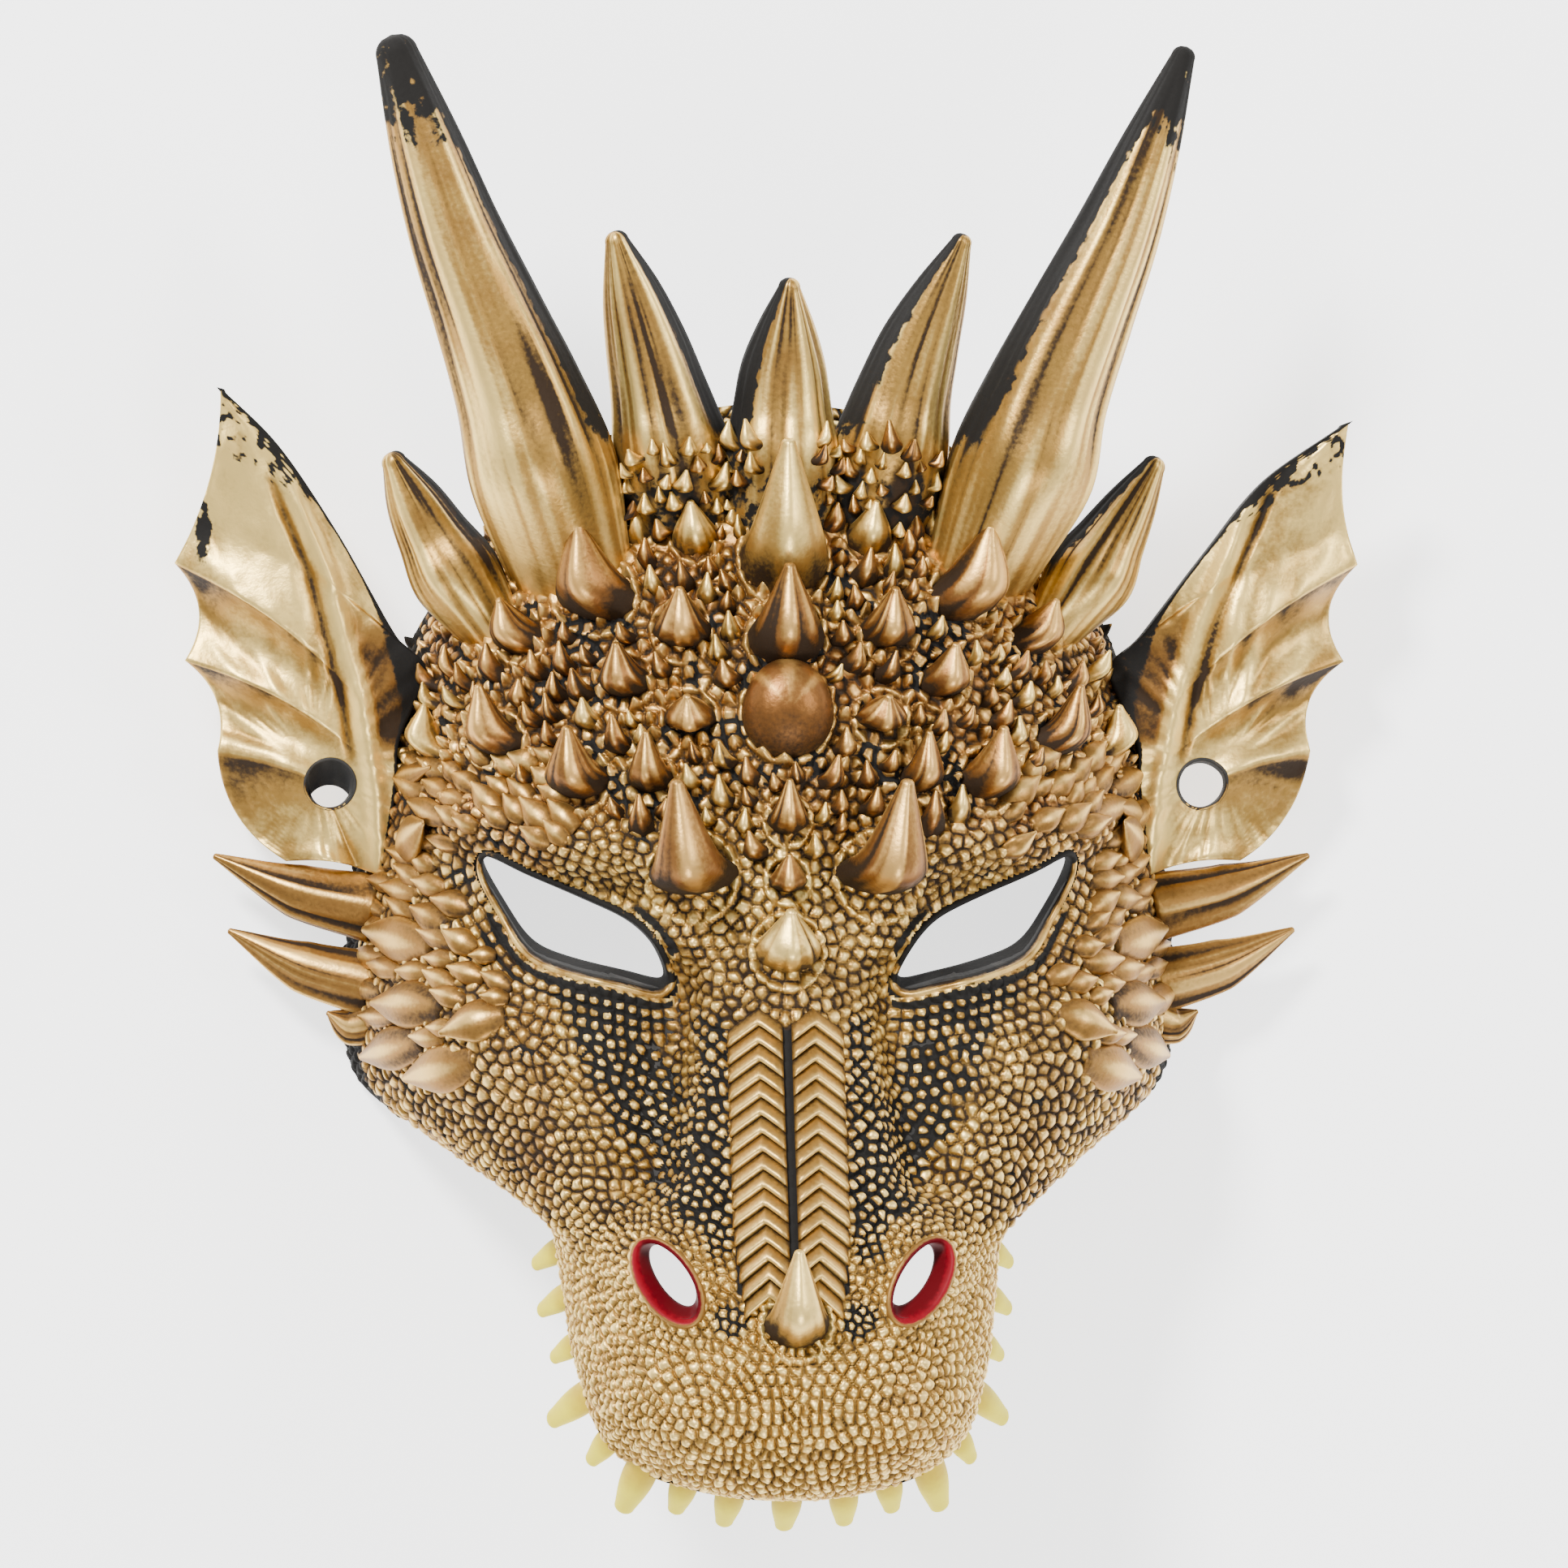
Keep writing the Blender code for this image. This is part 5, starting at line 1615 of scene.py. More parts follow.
@dataclass
class BridgePlates:
    """Two columns of roof-shaped plates that overlap down the bridge of the nose."""

    skin: Surface
    top: float = -44.5
    bottom: float = -97.5
    count: int = 16
    slant: float = 4.0
    shift: float = -0.5
    groove: float = 0.9
    column_width: float = 10.6
    cover: float = 1.0
    lift: Place = (-0.1, 1.6)
    sunk: float = 1.6
    across: int = 15
    down: int = 7

    def build(self, gold: bpy.types.Material) -> None:
        """Makes each column of plates a piece.

        Args:
            gold: the paint over them.
        """
        for side in Side:
            column = Form.merged([self.plate(side, number) for number in range(self.count)])
            add_piece(f"bridge_plates_{side.word}", column, gold)

    def plate(self, side: Side, number: int) -> Form:
        """Shapes one plate, higher along its lower edge.

        Args:
            side: which column it lies in.
            number: its place down the column.

        Returns:
            The closed form.
        """
        step = (self.top - self.bottom) / (self.count - 1)
        y = self.top - number * step
        narrow = 1 - 0.18 * smooth_step(self.count * 0.6, self.count, number)
        front, back, tops = [], [], []
        for share in np.linspace(0, 1, self.across):
            x = self.shift + side.value * (self.groove + share * self.column_width * narrow)
            hang = abs(share - 0.42) * 2 * self.slant
            column_front, column_back, column_tops = [], [], []
            for down in np.linspace(0, 1, self.down):
                point, normal = self.skin.at(x, y - hang - down * step * self.cover)
                ends = smooth_step(0, 0.10, share) * smooth_step(0, 0.10, 1 - share)
                curl = 1 - smooth_step(0.86, 1.0, down) * 0.35
                high = self.lift[0] + (self.lift[1] - self.lift[0]) * down**0.8
                high *= curl * (0.35 + 0.65 * ends)
                column_front.append(point + normal * high)
                column_back.append(point - normal * self.sunk)
                # Painted light: a painted highlight along each plate's raised lower edge, and painted shade
                # under the plate above.
                column_tops.append(0.16 + 0.70 * down**1.2 * (0.5 + 0.5 * ends))
            front.append(column_front)
            back.append(column_back)
            tops.append(column_tops)
        tops = np.array(tops)
        tint = np.full_like(tops, 0.5 + 0.2 * math.sin(number * 2.1 + side.value))
        paint = {"tops": tops, "copper": tint * 0.5, "soot": tops * 0, "tint": tint}
        return sheet_form(np.array(front), np.array(back), paint)


@dataclass
class FoamBody:
    """The black foam that carries everything: a bowl as thick as the wall, open behind the face."""

    face: FaceForm
    rows: int = 120
    columns: int = 110
    under_skin: float = 0.9
    edge_gap: float = 0.12
    softening: int = 16
    past: float = 2.0
    least_slope: float = 0.4
    reach: float = 200.0
    below: float = 60.0

    def build(self, skin: Surface, openings: Openings, foam: bpy.types.Material) -> bpy.types.Object:
        """Makes the bowl, pierced by the eyes and nostrils and cut flat where it lies on the floor.

        Args:
            skin: the face, to find the depth of each hole.
            openings: the outlines of the holes.
            foam: the finish of the bare foam.

        Returns:
            The piece.
        """
        front = self.face.grid(self.rows, self.columns)
        normals = grid_normals(front)
        back = front - softened(normals, self.softening) * self.face.wall
        down = np.linspace(0, 1, self.rows)[:, None]
        across = np.linspace(0, 1, self.columns)[None, :]
        edge = np.minimum(np.minimum(down, 1 - down), np.minimum(across, 1 - across))
        under = self.edge_gap + (self.under_skin - self.edge_gap) * smooth_step(0.0, 0.03, edge)
        form = sheet_form(front - normals * under[..., None], back)
        piece = add_piece("foam_body", form, foam)
        square = np.array(CORNERS) * self.reach
        cutters = [cutter("underside", square, -self.below, 0.0)]
        for side in Side:
            name = side.word
            cutters.append(self.hole(f"eye_{name}", openings.eye_back(side), openings.eye_front(side), skin))
            nostril = openings.nostril_back(side), openings.nostril_front(side)
            cutters.append(self.hole(f"nostril_{name}", *nostril, skin))
        pierced(piece, cutters)
        return piece

    def hole(self, name: str, back: Array, front: Array, skin: Surface) -> bpy.types.Object:
        """Makes a body that cuts one hole through the wall.

        Args:
            name: the hole's name.
            back: its outline at the back of the wall.
            front: its outline on the skin.
            skin: the face.

        Returns:
            The body, with flat ends.
        """
        front_points, _ = skin.many(front)
        back_points, normals = skin.many(back)
        through = self.face.wall / np.maximum(normals[:, 2], self.least_slope)
        above = np.column_stack([front, front_points[:, 2] + self.past])
        below = np.column_stack([back, back_points[:, 2] - through - self.past])
        top, bottom = above.copy(), below.copy()
        top[:, 2] = above[:, 2].max() + self.past
        bottom[:, 2] = below[:, 2].min() - self.past
        rings = np.array([bottom, below, above, top])
        return hidden_body(name, rings_form(rings, bottom.mean(0), top.mean(0)))


@dataclass
class HoleRims:
    """The raised lids round the eye holes and the rims of the nostrils, which also line the holes."""

    skin: Surface
    wall: float = 5.0
    least_slope: float = 0.4
    rounds: int = 4
    profile: tuple[Point, ...] = (
        *((1.35, -1.5, 0.0), (1.15, -0.25, 0.0), (0.90, 0.62, 0.0), (0.62, 1.0, 0.02)),
        *((0.34, 0.93, 0.08), (0.12, 0.5, 0.2), (-0.03, -0.1, 0.35)),
    )
    down: Point = (0.3, 0.6, 0.9)

    def form(self, front: Array, back: Array, lid: float, crest: float, buried: float, seed: int) -> Form:
        """Shapes one rim: over the crest of the lid, down the hole and back inside the foam.

        Args:
            front: the hole's outline on the skin.
            back: its outline at the back of the wall.
            lid: width of the lid.
            crest: how high it stands over the skin.
            buried: how far its back edge reaches into the foam.
            seed: picks its unevenness.

        Returns:
            The closed form.
        """
        points, normals = self.skin.many(front)
        for _ in range(self.rounds):
            points, normals = evened(points) / 4, unit(evened(normals))
        back_points, back_normals = self.skin.many(back)
        along = unit(np.roll(points, -1, 0) - np.roll(points, 1, 0))
        out = unit(np.cross(along, normals))
        flat_out = outward(front)
        out *= np.sign((out[:, :2] * flat_out).sum(1))[:, None]
        far = np.column_stack([outward(back), np.zeros(len(back))])
        through = self.wall / np.maximum(back_normals[:, 2], self.least_slope)
        behind = back_points - np.column_stack([np.zeros((len(back), 2)), through])
        for _ in range(self.rounds):
            behind = evened(behind) / 4
        wave = 1 + 0.18 * value_noise(points, 3.0, seed)
        sections, deep = [], []
        for away, high, depth in self.profile:
            lift = (crest * high * wave)[:, None] if high > 0 else high
            sections.append(points + out * lid * away + normals * lift)
            deep.append(depth)
        edge = sections[-1]
        for share in self.down:
            sections.append(edge + (behind - far * 0.1 - edge) * share)
            deep.append(0.4 + 0.6 * share)
        sections.append(behind - far * 0.1 - (0, 0, 0.08))
        sections.append(behind + far * buried - (0, 0, 0.08))
        sections.append(behind + far * buried + (0, 0, 2.2))
        deep += [1.0, 1.0, 1.0]
        rings = np.stack(sections, axis=1)
        depth = np.array(deep)[None, :] + np.zeros((len(points), 1))
        up = flat_out[:, 1:] + 0 * depth
        low = np.clip(-up, 0, 1)
        outer = np.clip(flat_out[:, :1] * np.sign(points[:, :1].mean()), 0, 1) + 0 * depth
        grain = value_noise(rings.reshape(-1, 3), 2.0, seed + 3).reshape(depth.shape)
        overspray = smooth_step(0.95, 0.3, depth) * (0.25 + 0.75 * np.maximum(low, outer))
        # Painted shade down into the hole, over the black foam of its wall, and darker along the hole's upper
        # edge.
        paint = {
            "tops": np.clip(0.75 + 0.3 * grain - 1.2 * depth, 0, 1),
            "copper": 0.35 + 0 * depth,
            "soot": np.clip((depth - 0.15) * 2.2 + 0.25 * grain + 1.1 * smooth_step(-0.1, 0.5, up), 0, 1),
            "tint": 0.5 + 0.2 * grain,
            "depth": depth,
            "overspray": np.clip(overspray, 0, 1),
        }
        return loop_form(rings, paint)

    def build(self, openings: Openings, gold: bpy.types.Material, nostril: bpy.types.Material) -> None:
        """Makes the rim of every eye hole and nostril a piece.

        Args:
            openings: the outlines of the holes.
            gold: the paint over the eye lids.
            nostril: the paint inside the nostrils.
        """
        for side in Side:
            name = side.word
            eye = self.form(openings.eye_front(side), openings.eye_back(side), 1.25, 0.45, 1.2, 20)
            add_piece(f"eye_lid_{name}", eye, gold)
            rim = self.form(openings.nostril_front(side), openings.nostril_lining(side), 1.35, 0.6, 2.6, 24)
            add_piece(f"nostril_rim_{name}", rim, nostril)


@dataclass
class ScaleSkin:
    """The painted skin: pebble-like scales, packed close, over the whole face."""

    face: FaceForm
    openings: Openings
    thorns: list[Thorn]
    horns: tuple[Horn, ...]
    rows: int = 500
    columns: int = 500
    seed: int = 7
    candidates: int = 90000
    least_apart: float = 1.6
    cell: float = 4.0
    nose: Place = (19.5, -124.0)
    nose_rings: Point = (2.2, 18.0, 2.3)
    nose_limits: Point = (1.0, 38.0, -139.0)
    ring_gap: float = 2.7
    lid_rings: tuple[float, ...] = (2.0, 4.4, 6.8, 9.2)
    thorn_gap: float = 2.9
    thorn_clear: float = 1.9
    bridge_middle: float = -0.5
    bridge_row: tuple[float, ...] = (14.4, -47.0, -99.0, -3.5)
    bridge_second_row: tuple[float, ...] = (18.4, -46.0, -94.0, -4.4)
    coarse: int = 200
    rounds: int = 2
    groove_depth: float = 0.80
    dome_height: float = 1.10
    hollow: Ridge = Ridge(1.0, (38.0, -41.0), (19.0, -80.0), 11.0)

    def spacing(self, points: Array) -> Array:
        """Gives the size of the scales at places on the face.

        Args:
            points: the places.

        Returns:
            The distances between the scales' middles.
        """
        x, y = np.abs(points[:, 0]), points[:, 1]
        size = np.full(len(points), 2.6)
        size = np.where(y > -5, 2.9, size)
        size = np.where((x > 52) & (y < -8) & (y > -70), 3.0, size)
        size = np.where(y < -88, 2.15, size)
        near = outline_distance(np.column_stack([x, y]), self.openings.nostril_front(Side.RIGHT))
        return np.where(near < 7, 1.9, size)

    def drawn_seeds(self, surface: Surface, grid: Array) -> list[Array]:
        """Lays out the scales that stand in rows: round the nose, the lids and the thorns, and along the lip.

        Args:
            surface: the face.
            grid: its points.

        Returns:
            The middles of those scales.
        """
        places = []
        for side in Side:
            inner, outer, lowest = self.nose_limits
            for radius in np.arange(*self.nose_rings):
                count = max(5, int(2 * math.pi * radius / self.ring_gap))
                for angle in np.arange(count) * 2 * math.pi / count:
                    x = self.nose[0] + radius * math.cos(angle)
                    y = self.nose[1] + radius * math.sin(angle)
                    if y > lowest and inner < x < outer:
                        places.append((side.value * x, y))
            for y in np.arange(*self.bridge_row[1:]):
                places.append((side.value * (self.bridge_row[0] + 0.35 * math.sin(y)) - 0.6, y))
            for y in np.arange(*self.bridge_second_row[1:]):
                places.append((side.value * (self.bridge_second_row[0] + 0.7 * math.sin(y * 1.7)), y))
            lids = self.openings.eye_front(side)
            out = outward(lids)
            for away in self.lid_rings:
                ring = lids + out * away
                length = np.concatenate([[0], np.cumsum(np.linalg.norm(np.diff(ring, axis=0), axis=1))])
                for at in np.arange(0, length[-1], self.ring_gap):
                    places.append((np.interp(at, length, ring[:, 0]), np.interp(at, length, ring[:, 1])))
        for thorn in self.thorns:
            half_x, half_y = (thorn.width * share + self.thorn_clear for share in (0.60, 0.63))
            count = max(8, int(math.pi * (half_x + half_y) / self.thorn_gap))
            for angle in np.arange(count) * 2 * math.pi / count:
                ring = half_x * math.cos(angle), half_y * math.sin(angle)
                places.append((thorn.foot[0] + ring[0], thorn.foot[1] + ring[1]))
        seeds = [surface.at(x, y)[0] for x, y in places]
        low_rows = np.flatnonzero(grid[:, 5, 1] < -82)
        lip = list(grid[-6, 8:-8:10]) + list(grid[low_rows[::9], 5]) + list(grid[low_rows[::9], -6])
        return [np.array(point) for point in lip] + seeds

    def scattered(self, grid: Array, surface: Surface) -> tuple[Array, int]:
        """Fills the face with scales that keep apart.

        Args:
            grid: the face's points.
            surface: the face.

        Returns:
            The middles of all scales, and how many of them stand in rows and stay where they are.
        """
        random = np.random.default_rng(self.seed)
        drawn = np.array(self.drawn_seeds(surface, grid))
        flat = grid.reshape(-1, 3)
        loose = flat[random.permutation(len(flat))[: self.candidates]]
        every = np.concatenate([drawn, loose])
        apart = np.concatenate([np.full(len(drawn), self.least_apart), self.spacing(loose) * 0.80])
        buckets: dict[tuple[int, int, int], list[int]] = {}
        kept: list[int] = []
        keys = [tuple(key) for key in np.floor(every / self.cell).astype(int).tolist()]
        for number, (point, key) in enumerate(zip(every, keys)):
            around = itertools.product(*((k - 1, k, k + 1) for k in key))
            gaps = (every[other] - point for place in around for other in buckets.get(place, ()))
            if all(gap @ gap >= apart[number] ** 2 for gap in gaps):
                buckets.setdefault(key, []).append(number)
                kept.append(number)
        fixed = sum(1 for number in kept if number < len(drawn))
        return every[kept], fixed

    def nearest(self, flat: Array, seeds: Array) -> tuple[Array, Array, Array]:
        """Finds each point's own scale and how far it lies inside that scale's border.

        Args:
            flat: the face's points.
            seeds: the middles of the scales.

        Returns:
            The number of each point's scale, its distance to the border and its distance to the middle.
        """
        tree = KDTree(len(seeds))
        for number, point in enumerate(seeds):
            tree.insert(point, number)
        tree.balance()
        own = np.zeros(len(flat), int)
        border = np.zeros(len(flat))
        middle = np.zeros(len(flat))
        for number, point in enumerate(flat):
            found = tree.find_n(point, 4)
            first, index, near = found[0]
            own[number] = index
            middle[number] = near
            border[number] = min(
                (far * far - near * near) / (2 * (other - first).length) for other, _, far in found[1:]
            )
        return own, border, middle

    def packed(self, grid: Array) -> tuple[Array, Array, Array, Array]:
        """Packs the scales close, and moves each loose one to the middle of its own ground.

        Args:
            grid: the face's points.

        Returns:
            The scales' middles, and each point's scale, its distance to the border and to the middle.
        """
        surface = Surface(self.face.grid(self.coarse, self.coarse))
        flat = grid.reshape(-1, 3)
        seeds, fixed = self.scattered(grid, surface)
        own, border, middle = self.nearest(flat, seeds)
        for _ in range(self.rounds):
            count = np.maximum(np.bincount(own, minlength=len(seeds)), 1)
            moved = np.stack([np.bincount(own, flat[:, k], len(seeds)) / count for k in range(3)], -1)
            moved[:fixed] = seeds[:fixed]
            seeds = np.where((np.bincount(own, minlength=len(seeds)) > 0)[:, None], moved, seeds)
            own, border, middle = self.nearest(flat, seeds)
        LOG.info("%d scales, %d of them in rows", len(seeds), fixed)
        return seeds, own, border, middle

    def under_bridge(self, flat: Array) -> Array:
        """Tells where the plates on the bridge of the nose cover the skin.

        Args:
            flat: the face's points.

        Returns:
            A share from 0 to 1 at each point.
        """
        y, column = flat[:, 1], np.abs(flat[:, 0] - self.bridge_middle)
        above = y + 44.6 + np.abs((column - 0.9) / 10.6 - 0.42) * 8.0
        covered = (1 - smooth_step(10.6, 11.8, column)) * (1 - smooth_step(-1.2, 0.4, above))
        return covered * smooth_step(-103, -99, y)

    def relief(self) -> tuple[Array, Array, dict[str, Array]]:
        """Works out the skin's points and what the paint reads there.

        Returns:
            Rows by columns of points, of normals, and the paint values.
        """
        grid = self.face.grid(self.rows, self.columns)
        flat = grid.reshape(-1, 3)
        seeds, own, border, middle = self.packed(grid)
        random = np.random.default_rng(self.seed + 1)
        height = random.uniform(0.75, 1.25, len(seeds))
        tint = random.uniform(0, 1, len(seeds))
        tilt = random.normal(0, 0.13, (len(seeds), 3))
        size = self.spacing(flat)
        x, y = np.abs(flat[:, 0]), flat[:, 1]
        uneven = value_noise(flat, 3.2, 31) + 0.5 * value_noise(flat, 9.0, 32)
        valley = np.clip(self.hollow.at(x, y) * (1.1 + 0.9 * uneven), 0, 1)
        beside = smooth_step(11.5, 13.0, x) * (1 - smooth_step(16.5, 20.0, x)) * smooth_step(42, 49, -y)
        beside = beside * (1 - smooth_step(90, 99, -y))
        beaded = np.clip(beside * (0.8 + 0.4 * uneven) + smooth_step(0.10, 0.55, valley), 0, 1)
        inner = np.clip((border - 0.10) / (size * 0.34), 0, 1)
        round_bead = np.clip((0.72 + 0.78 * height[own] - 0.15 * valley - middle) / 0.80, 0, 1)
        inner = inner + (np.minimum(inner, round_bead) - inner) * beaded
        dome = np.sqrt(1 - (1 - inner) ** 2) * (0.72 + 0.28 * np.clip(1 - middle / size * 1.4, 0, 1))
        bead = beside * 0.35 + (y < -88) * 0.1
        dome = dome * (height[own] + bead) + ((flat - seeds[own]) * tilt[own]).sum(1) * inner
        ragged = smooth_step(-12, 6, y)
        grain = value_noise(flat, 1.3, 3)
        dome = dome + ragged * 0.20 * grain * inner
        spiky = (random.uniform(0, 1, len(seeds)) < 0.30)[own] * ragged * (y < 68)
        spike = spiky * np.clip(1 - middle / (size * 0.62), 0, 1) ** 1.2 * 1.5
        calm = self.calm(flat)
        rise = (dome * self.dome_height - self.groove_depth) * calm + spike * calm
        rings = self.thorn_rings(flat)
        bridge = self.under_bridge(flat)
        calm = calm * (1 - bridge)
        rise = rise * (1 - bridge) - 0.6 * bridge
        rise = rise + rings * 0.75
        edge = self.edge_fade()
        rise = rise * edge.reshape(-1)
        normals = grid_normals(grid)
        lean = np.zeros_like(grid)
        lean[..., 1] = (spike * calm * 0.9).reshape(grid.shape[:2])
        points = grid + normals * rise.reshape(grid.shape[:2])[..., None] + lean * edge[..., None]
        cloud = value_noise(flat, 14.0, 8)
        patch = value_noise(flat, 5.0, 12)
        near_eye = np.minimum(
            outline_distance(flat[:, :2], self.openings.eye_front(Side.LEFT)),
            outline_distance(flat[:, :2], self.openings.eye_front(Side.RIGHT)),
        )
        below_lid = smooth_step(-22, -28, y) * (x > 22)
        lid_band = (peak(near_eye, 2.6, 0.9) + peak(near_eye, 5.6, 0.6) * 0.7) * below_lid
        low = 1 - smooth_step(4, 24, flat[:, 2])
        gap = 1 - smooth_step(0.20, 0.70, inner)
        lip = self.near_lip(y.reshape(grid.shape[:2])).reshape(-1)
        snout = smooth_step(84, 100, -y)
        bright = random.uniform(-0.34, 0.30, len(seeds))[own] + 0.14 * snout
        # Painted light: each scale is lighter on its dome as a painted highlight, and on the thin ridges
        # round the thorns and on the spikes, and darker in the gaps between scales, where the dark wash and
        # painted shade lie; each scale's random brightness is its own.
        tops = inner * (0.46 + 0.46 * dome + bright) * calm + (1 - calm) * 0.70 + rings * 0.5 + spike * 0.3
        tops = np.clip(tops - bridge + gap * (0.08 + 0.16 * snout) * calm, 0, 1)
        copper = 0.75 * smooth_step(-22, 6, y) * (1 - smooth_step(52, 70, y)) + 0.30 * cloud
        copper = copper + 0.35 * (x > 46) * (y < 0)
        nose_side = peak(x, 13.0, 5.0) * peak(y, -106.0, 5.0)
        patch = np.clip(patch, 0, 1)
        # Black in patches and gaps, in the hollow beside the bridge, beside the nose horn, by the lip, near
        # the floor and under the lower lids; in the hollow and the gaps it is painted shade.
        deep = 1.6 * valley + beside + 1.1 * patch * (1 - 0.7 * snout) + 0.28 * smooth_step(-16, -6, y)
        deep = np.clip(deep + 0.8 * lip + 1.2 * nose_side, 0, 1)
        soot = 0.85 * deep * gap * calm + 0.9 * lid_band + 0.8 * low + 0.30 * patch * ragged
        over_eye = (1 - smooth_step(0.0, 7.0, near_eye)) * smooth_step(-30, -20, y)
        soot = soot + 0.12 * valley + 0.25 * over_eye + bridge
        paint = {
            "tops": tops,
            "copper": np.clip(copper, 0, 1),
            "soot": np.clip(soot, 0, 1),
            "tint": tint[own],
        }
        shape = grid.shape[:2]
        return points, grid_normals(points), {name: value.reshape(shape) for name, value in paint.items()}

    def calm(self, flat: Array) -> Array:
        """Tells where the scales are flattened: by the holes, the bridge of the nose and the horns' feet.

        Args:
            flat: the face's points.

        Returns:
            The share of the relief that is left at each point.
        """
        keep = np.ones(len(flat))
        for side in Side:
            eye = outline_distance(flat[:, :2], self.openings.eye_front(side))
            nostril = outline_distance(flat[:, :2], self.openings.nostril_front(side))
            keep = keep * smooth_step(0.7, 2.0, eye) * smooth_step(0.8, 2.0, nostril)
        for horn in self.horns:
            away = np.linalg.norm((flat[:, :2] - horn.line[0][:2]) / (1.0, 0.8), axis=1)
            keep = keep * (0.12 + 0.88 * smooth_step(horn.widths[0] * 0.42, horn.widths[0] * 0.62, away))
        return keep

    def thorn_rings(self, flat: Array) -> Array:
        """Tells where a thin ridge runs round the foot of a thorn.

        Args:
            flat: the face's points.

        Returns:
            A share from 0 to 1 at each point.
        """
        most = np.zeros(len(flat))
        for thorn in self.thorns:
            reach = np.array([thorn.width * 0.525, thorn.width * 0.55])
            away = (np.linalg.norm((flat[:, :2] - thorn.foot) / reach, axis=1) - 1) * reach.mean()
            most = np.maximum(most, peak(away, 0.7, 0.55))
        return most

    def near_lip(self, up: Array) -> Array:
        """Tells how near the edge of the lip is.

        Args:
            up: how far up the face each point lies, rows by columns.

        Returns:
            A share from 0 to 1 at each point, rows by columns.
        """
        from_lip = np.arange(self.rows)[::-1][:, None] * 0.5
        across = np.minimum(np.arange(self.columns), np.arange(self.columns)[::-1])[None, :] * 0.5
        nearest = np.where(up < -80, np.minimum(from_lip, across), from_lip)
        return 1 - smooth_step(3.0, 7.0, nearest)

    def edge_fade(self) -> Array:
        """Tells how much of the relief is left near the edge of the skin."""
        down = np.minimum(np.arange(self.rows), np.arange(self.rows)[::-1])[:, None]
        across = np.minimum(np.arange(self.columns), np.arange(self.columns)[::-1])[None, :]
        return smooth_step(0, 4, np.minimum(down, across))

    def build(self, gold: bpy.types.Material) -> None:
        """Makes the skin four pieces, without the faces over the holes and under the floor.

        Args:
            gold: the paint over it.
        """
        points, normals, paint = self.relief()
        open_at = np.zeros(points.shape[:2], bool)
        flat = points[..., :2].reshape(-1, 2)
        for side in Side:
            eye = outline_distance(flat, self.openings.eye_front(side)) < 0.9
            nostril = outline_distance(flat, self.openings.nostril_front(side)) < 0.6
            open_at |= (eye | nostril).reshape(open_at.shape)
        open_at |= points[..., 2] < 0.1
        points[..., 2] = np.maximum(points[..., 2], 0.05)
        half_row, half_column = self.rows // 2, self.columns // 2
        parts = (
            ("brow_skin_left", slice(0, half_row + 1), slice(0, half_column + 1)),
            ("brow_skin_right", slice(0, half_row + 1), slice(half_column, None)),
            ("snout_skin_left", slice(half_row, None), slice(0, half_column + 1)),
            ("snout_skin_right", slice(half_row, None), slice(half_column, None)),
        )
        for name, down, across in parts:
            grid, facing, gone = points[down, across], normals[down, across], open_at[down, across]
            quads = grid_quads(*grid.shape[:2])
            quads = quads[~gone.reshape(-1)[quads].any(axis=1)]
            used, index = np.unique(quads, return_inverse=True)
            faces = [tuple(face) for face in index.reshape(quads.shape).tolist()]
            values = {key: value[down, across].reshape(-1)[used] for key, value in paint.items()}
            form = Form(grid.reshape(-1, 3)[used], faces, values)
            piece = add_piece(name, form, gold, closed=False)
            piece.data.normals_split_custom_set_from_vertices(facing.reshape(-1, 3)[used].tolist())


# Finishes. Each one is a small class that mixes its own paint.


class Reading:
    """A number that a finish reads at each point, to be used in formulas."""

    def __init__(self, mix: "PaintMix", socket: bpy.types.NodeSocket) -> None:
        """Keeps the finish that it belongs to, and the socket that the number comes from."""
        self.mix = mix
        self.socket = socket

    def reckon(self, operation: str, *values: "Reading | float", clamp: bool = False) -> "Reading":
        """Works out a number from others by a kind of sum, kept between 0 and 1 where it is clamped."""
        settings = {"operation": operation, "use_clamp": clamp}
        return self.mix.reading("ShaderNodeMath", settings, dict(enumerate(values)), 0)

    def __add__(self, other: "Reading | float") -> "Reading":
        """Adds."""
        return self.reckon("ADD", self, other)

    def __radd__(self, other: float) -> "Reading":
        """Adds to a plain number."""
        return self.reckon("ADD", other, self)

    def __sub__(self, other: "Reading | float") -> "Reading":
        """Subtracts."""
        return self.reckon("SUBTRACT", self, other)

    def __rsub__(self, other: float) -> "Reading":
        """Subtracts from a plain number."""
        return self.reckon("SUBTRACT", other, self)

    def __mul__(self, other: "Reading | float") -> "Reading":
        """Multiplies."""
        return self.reckon("MULTIPLY", self, other)

    def __rmul__(self, other: float) -> "Reading":
        """Multiplies a plain number."""
        return self.reckon("MULTIPLY", other, self)

    def clamped(self) -> "Reading":
        """Keeps it between 0 and 1."""
        return self.reckon("ADD", self, 0.0, clamp=True)

    def eased(self, low: float, high: float) -> "Reading":
        """Runs it smoothly from 0 at the low limit to 1 at the high one."""
        values = {"Value": self, "From Min": low, "From Max": high}
        return self.mix.reading("ShaderNodeMapRange", {"interpolation_type": "SMOOTHSTEP"}, values, 0)


Colour = tuple[float, float, float]


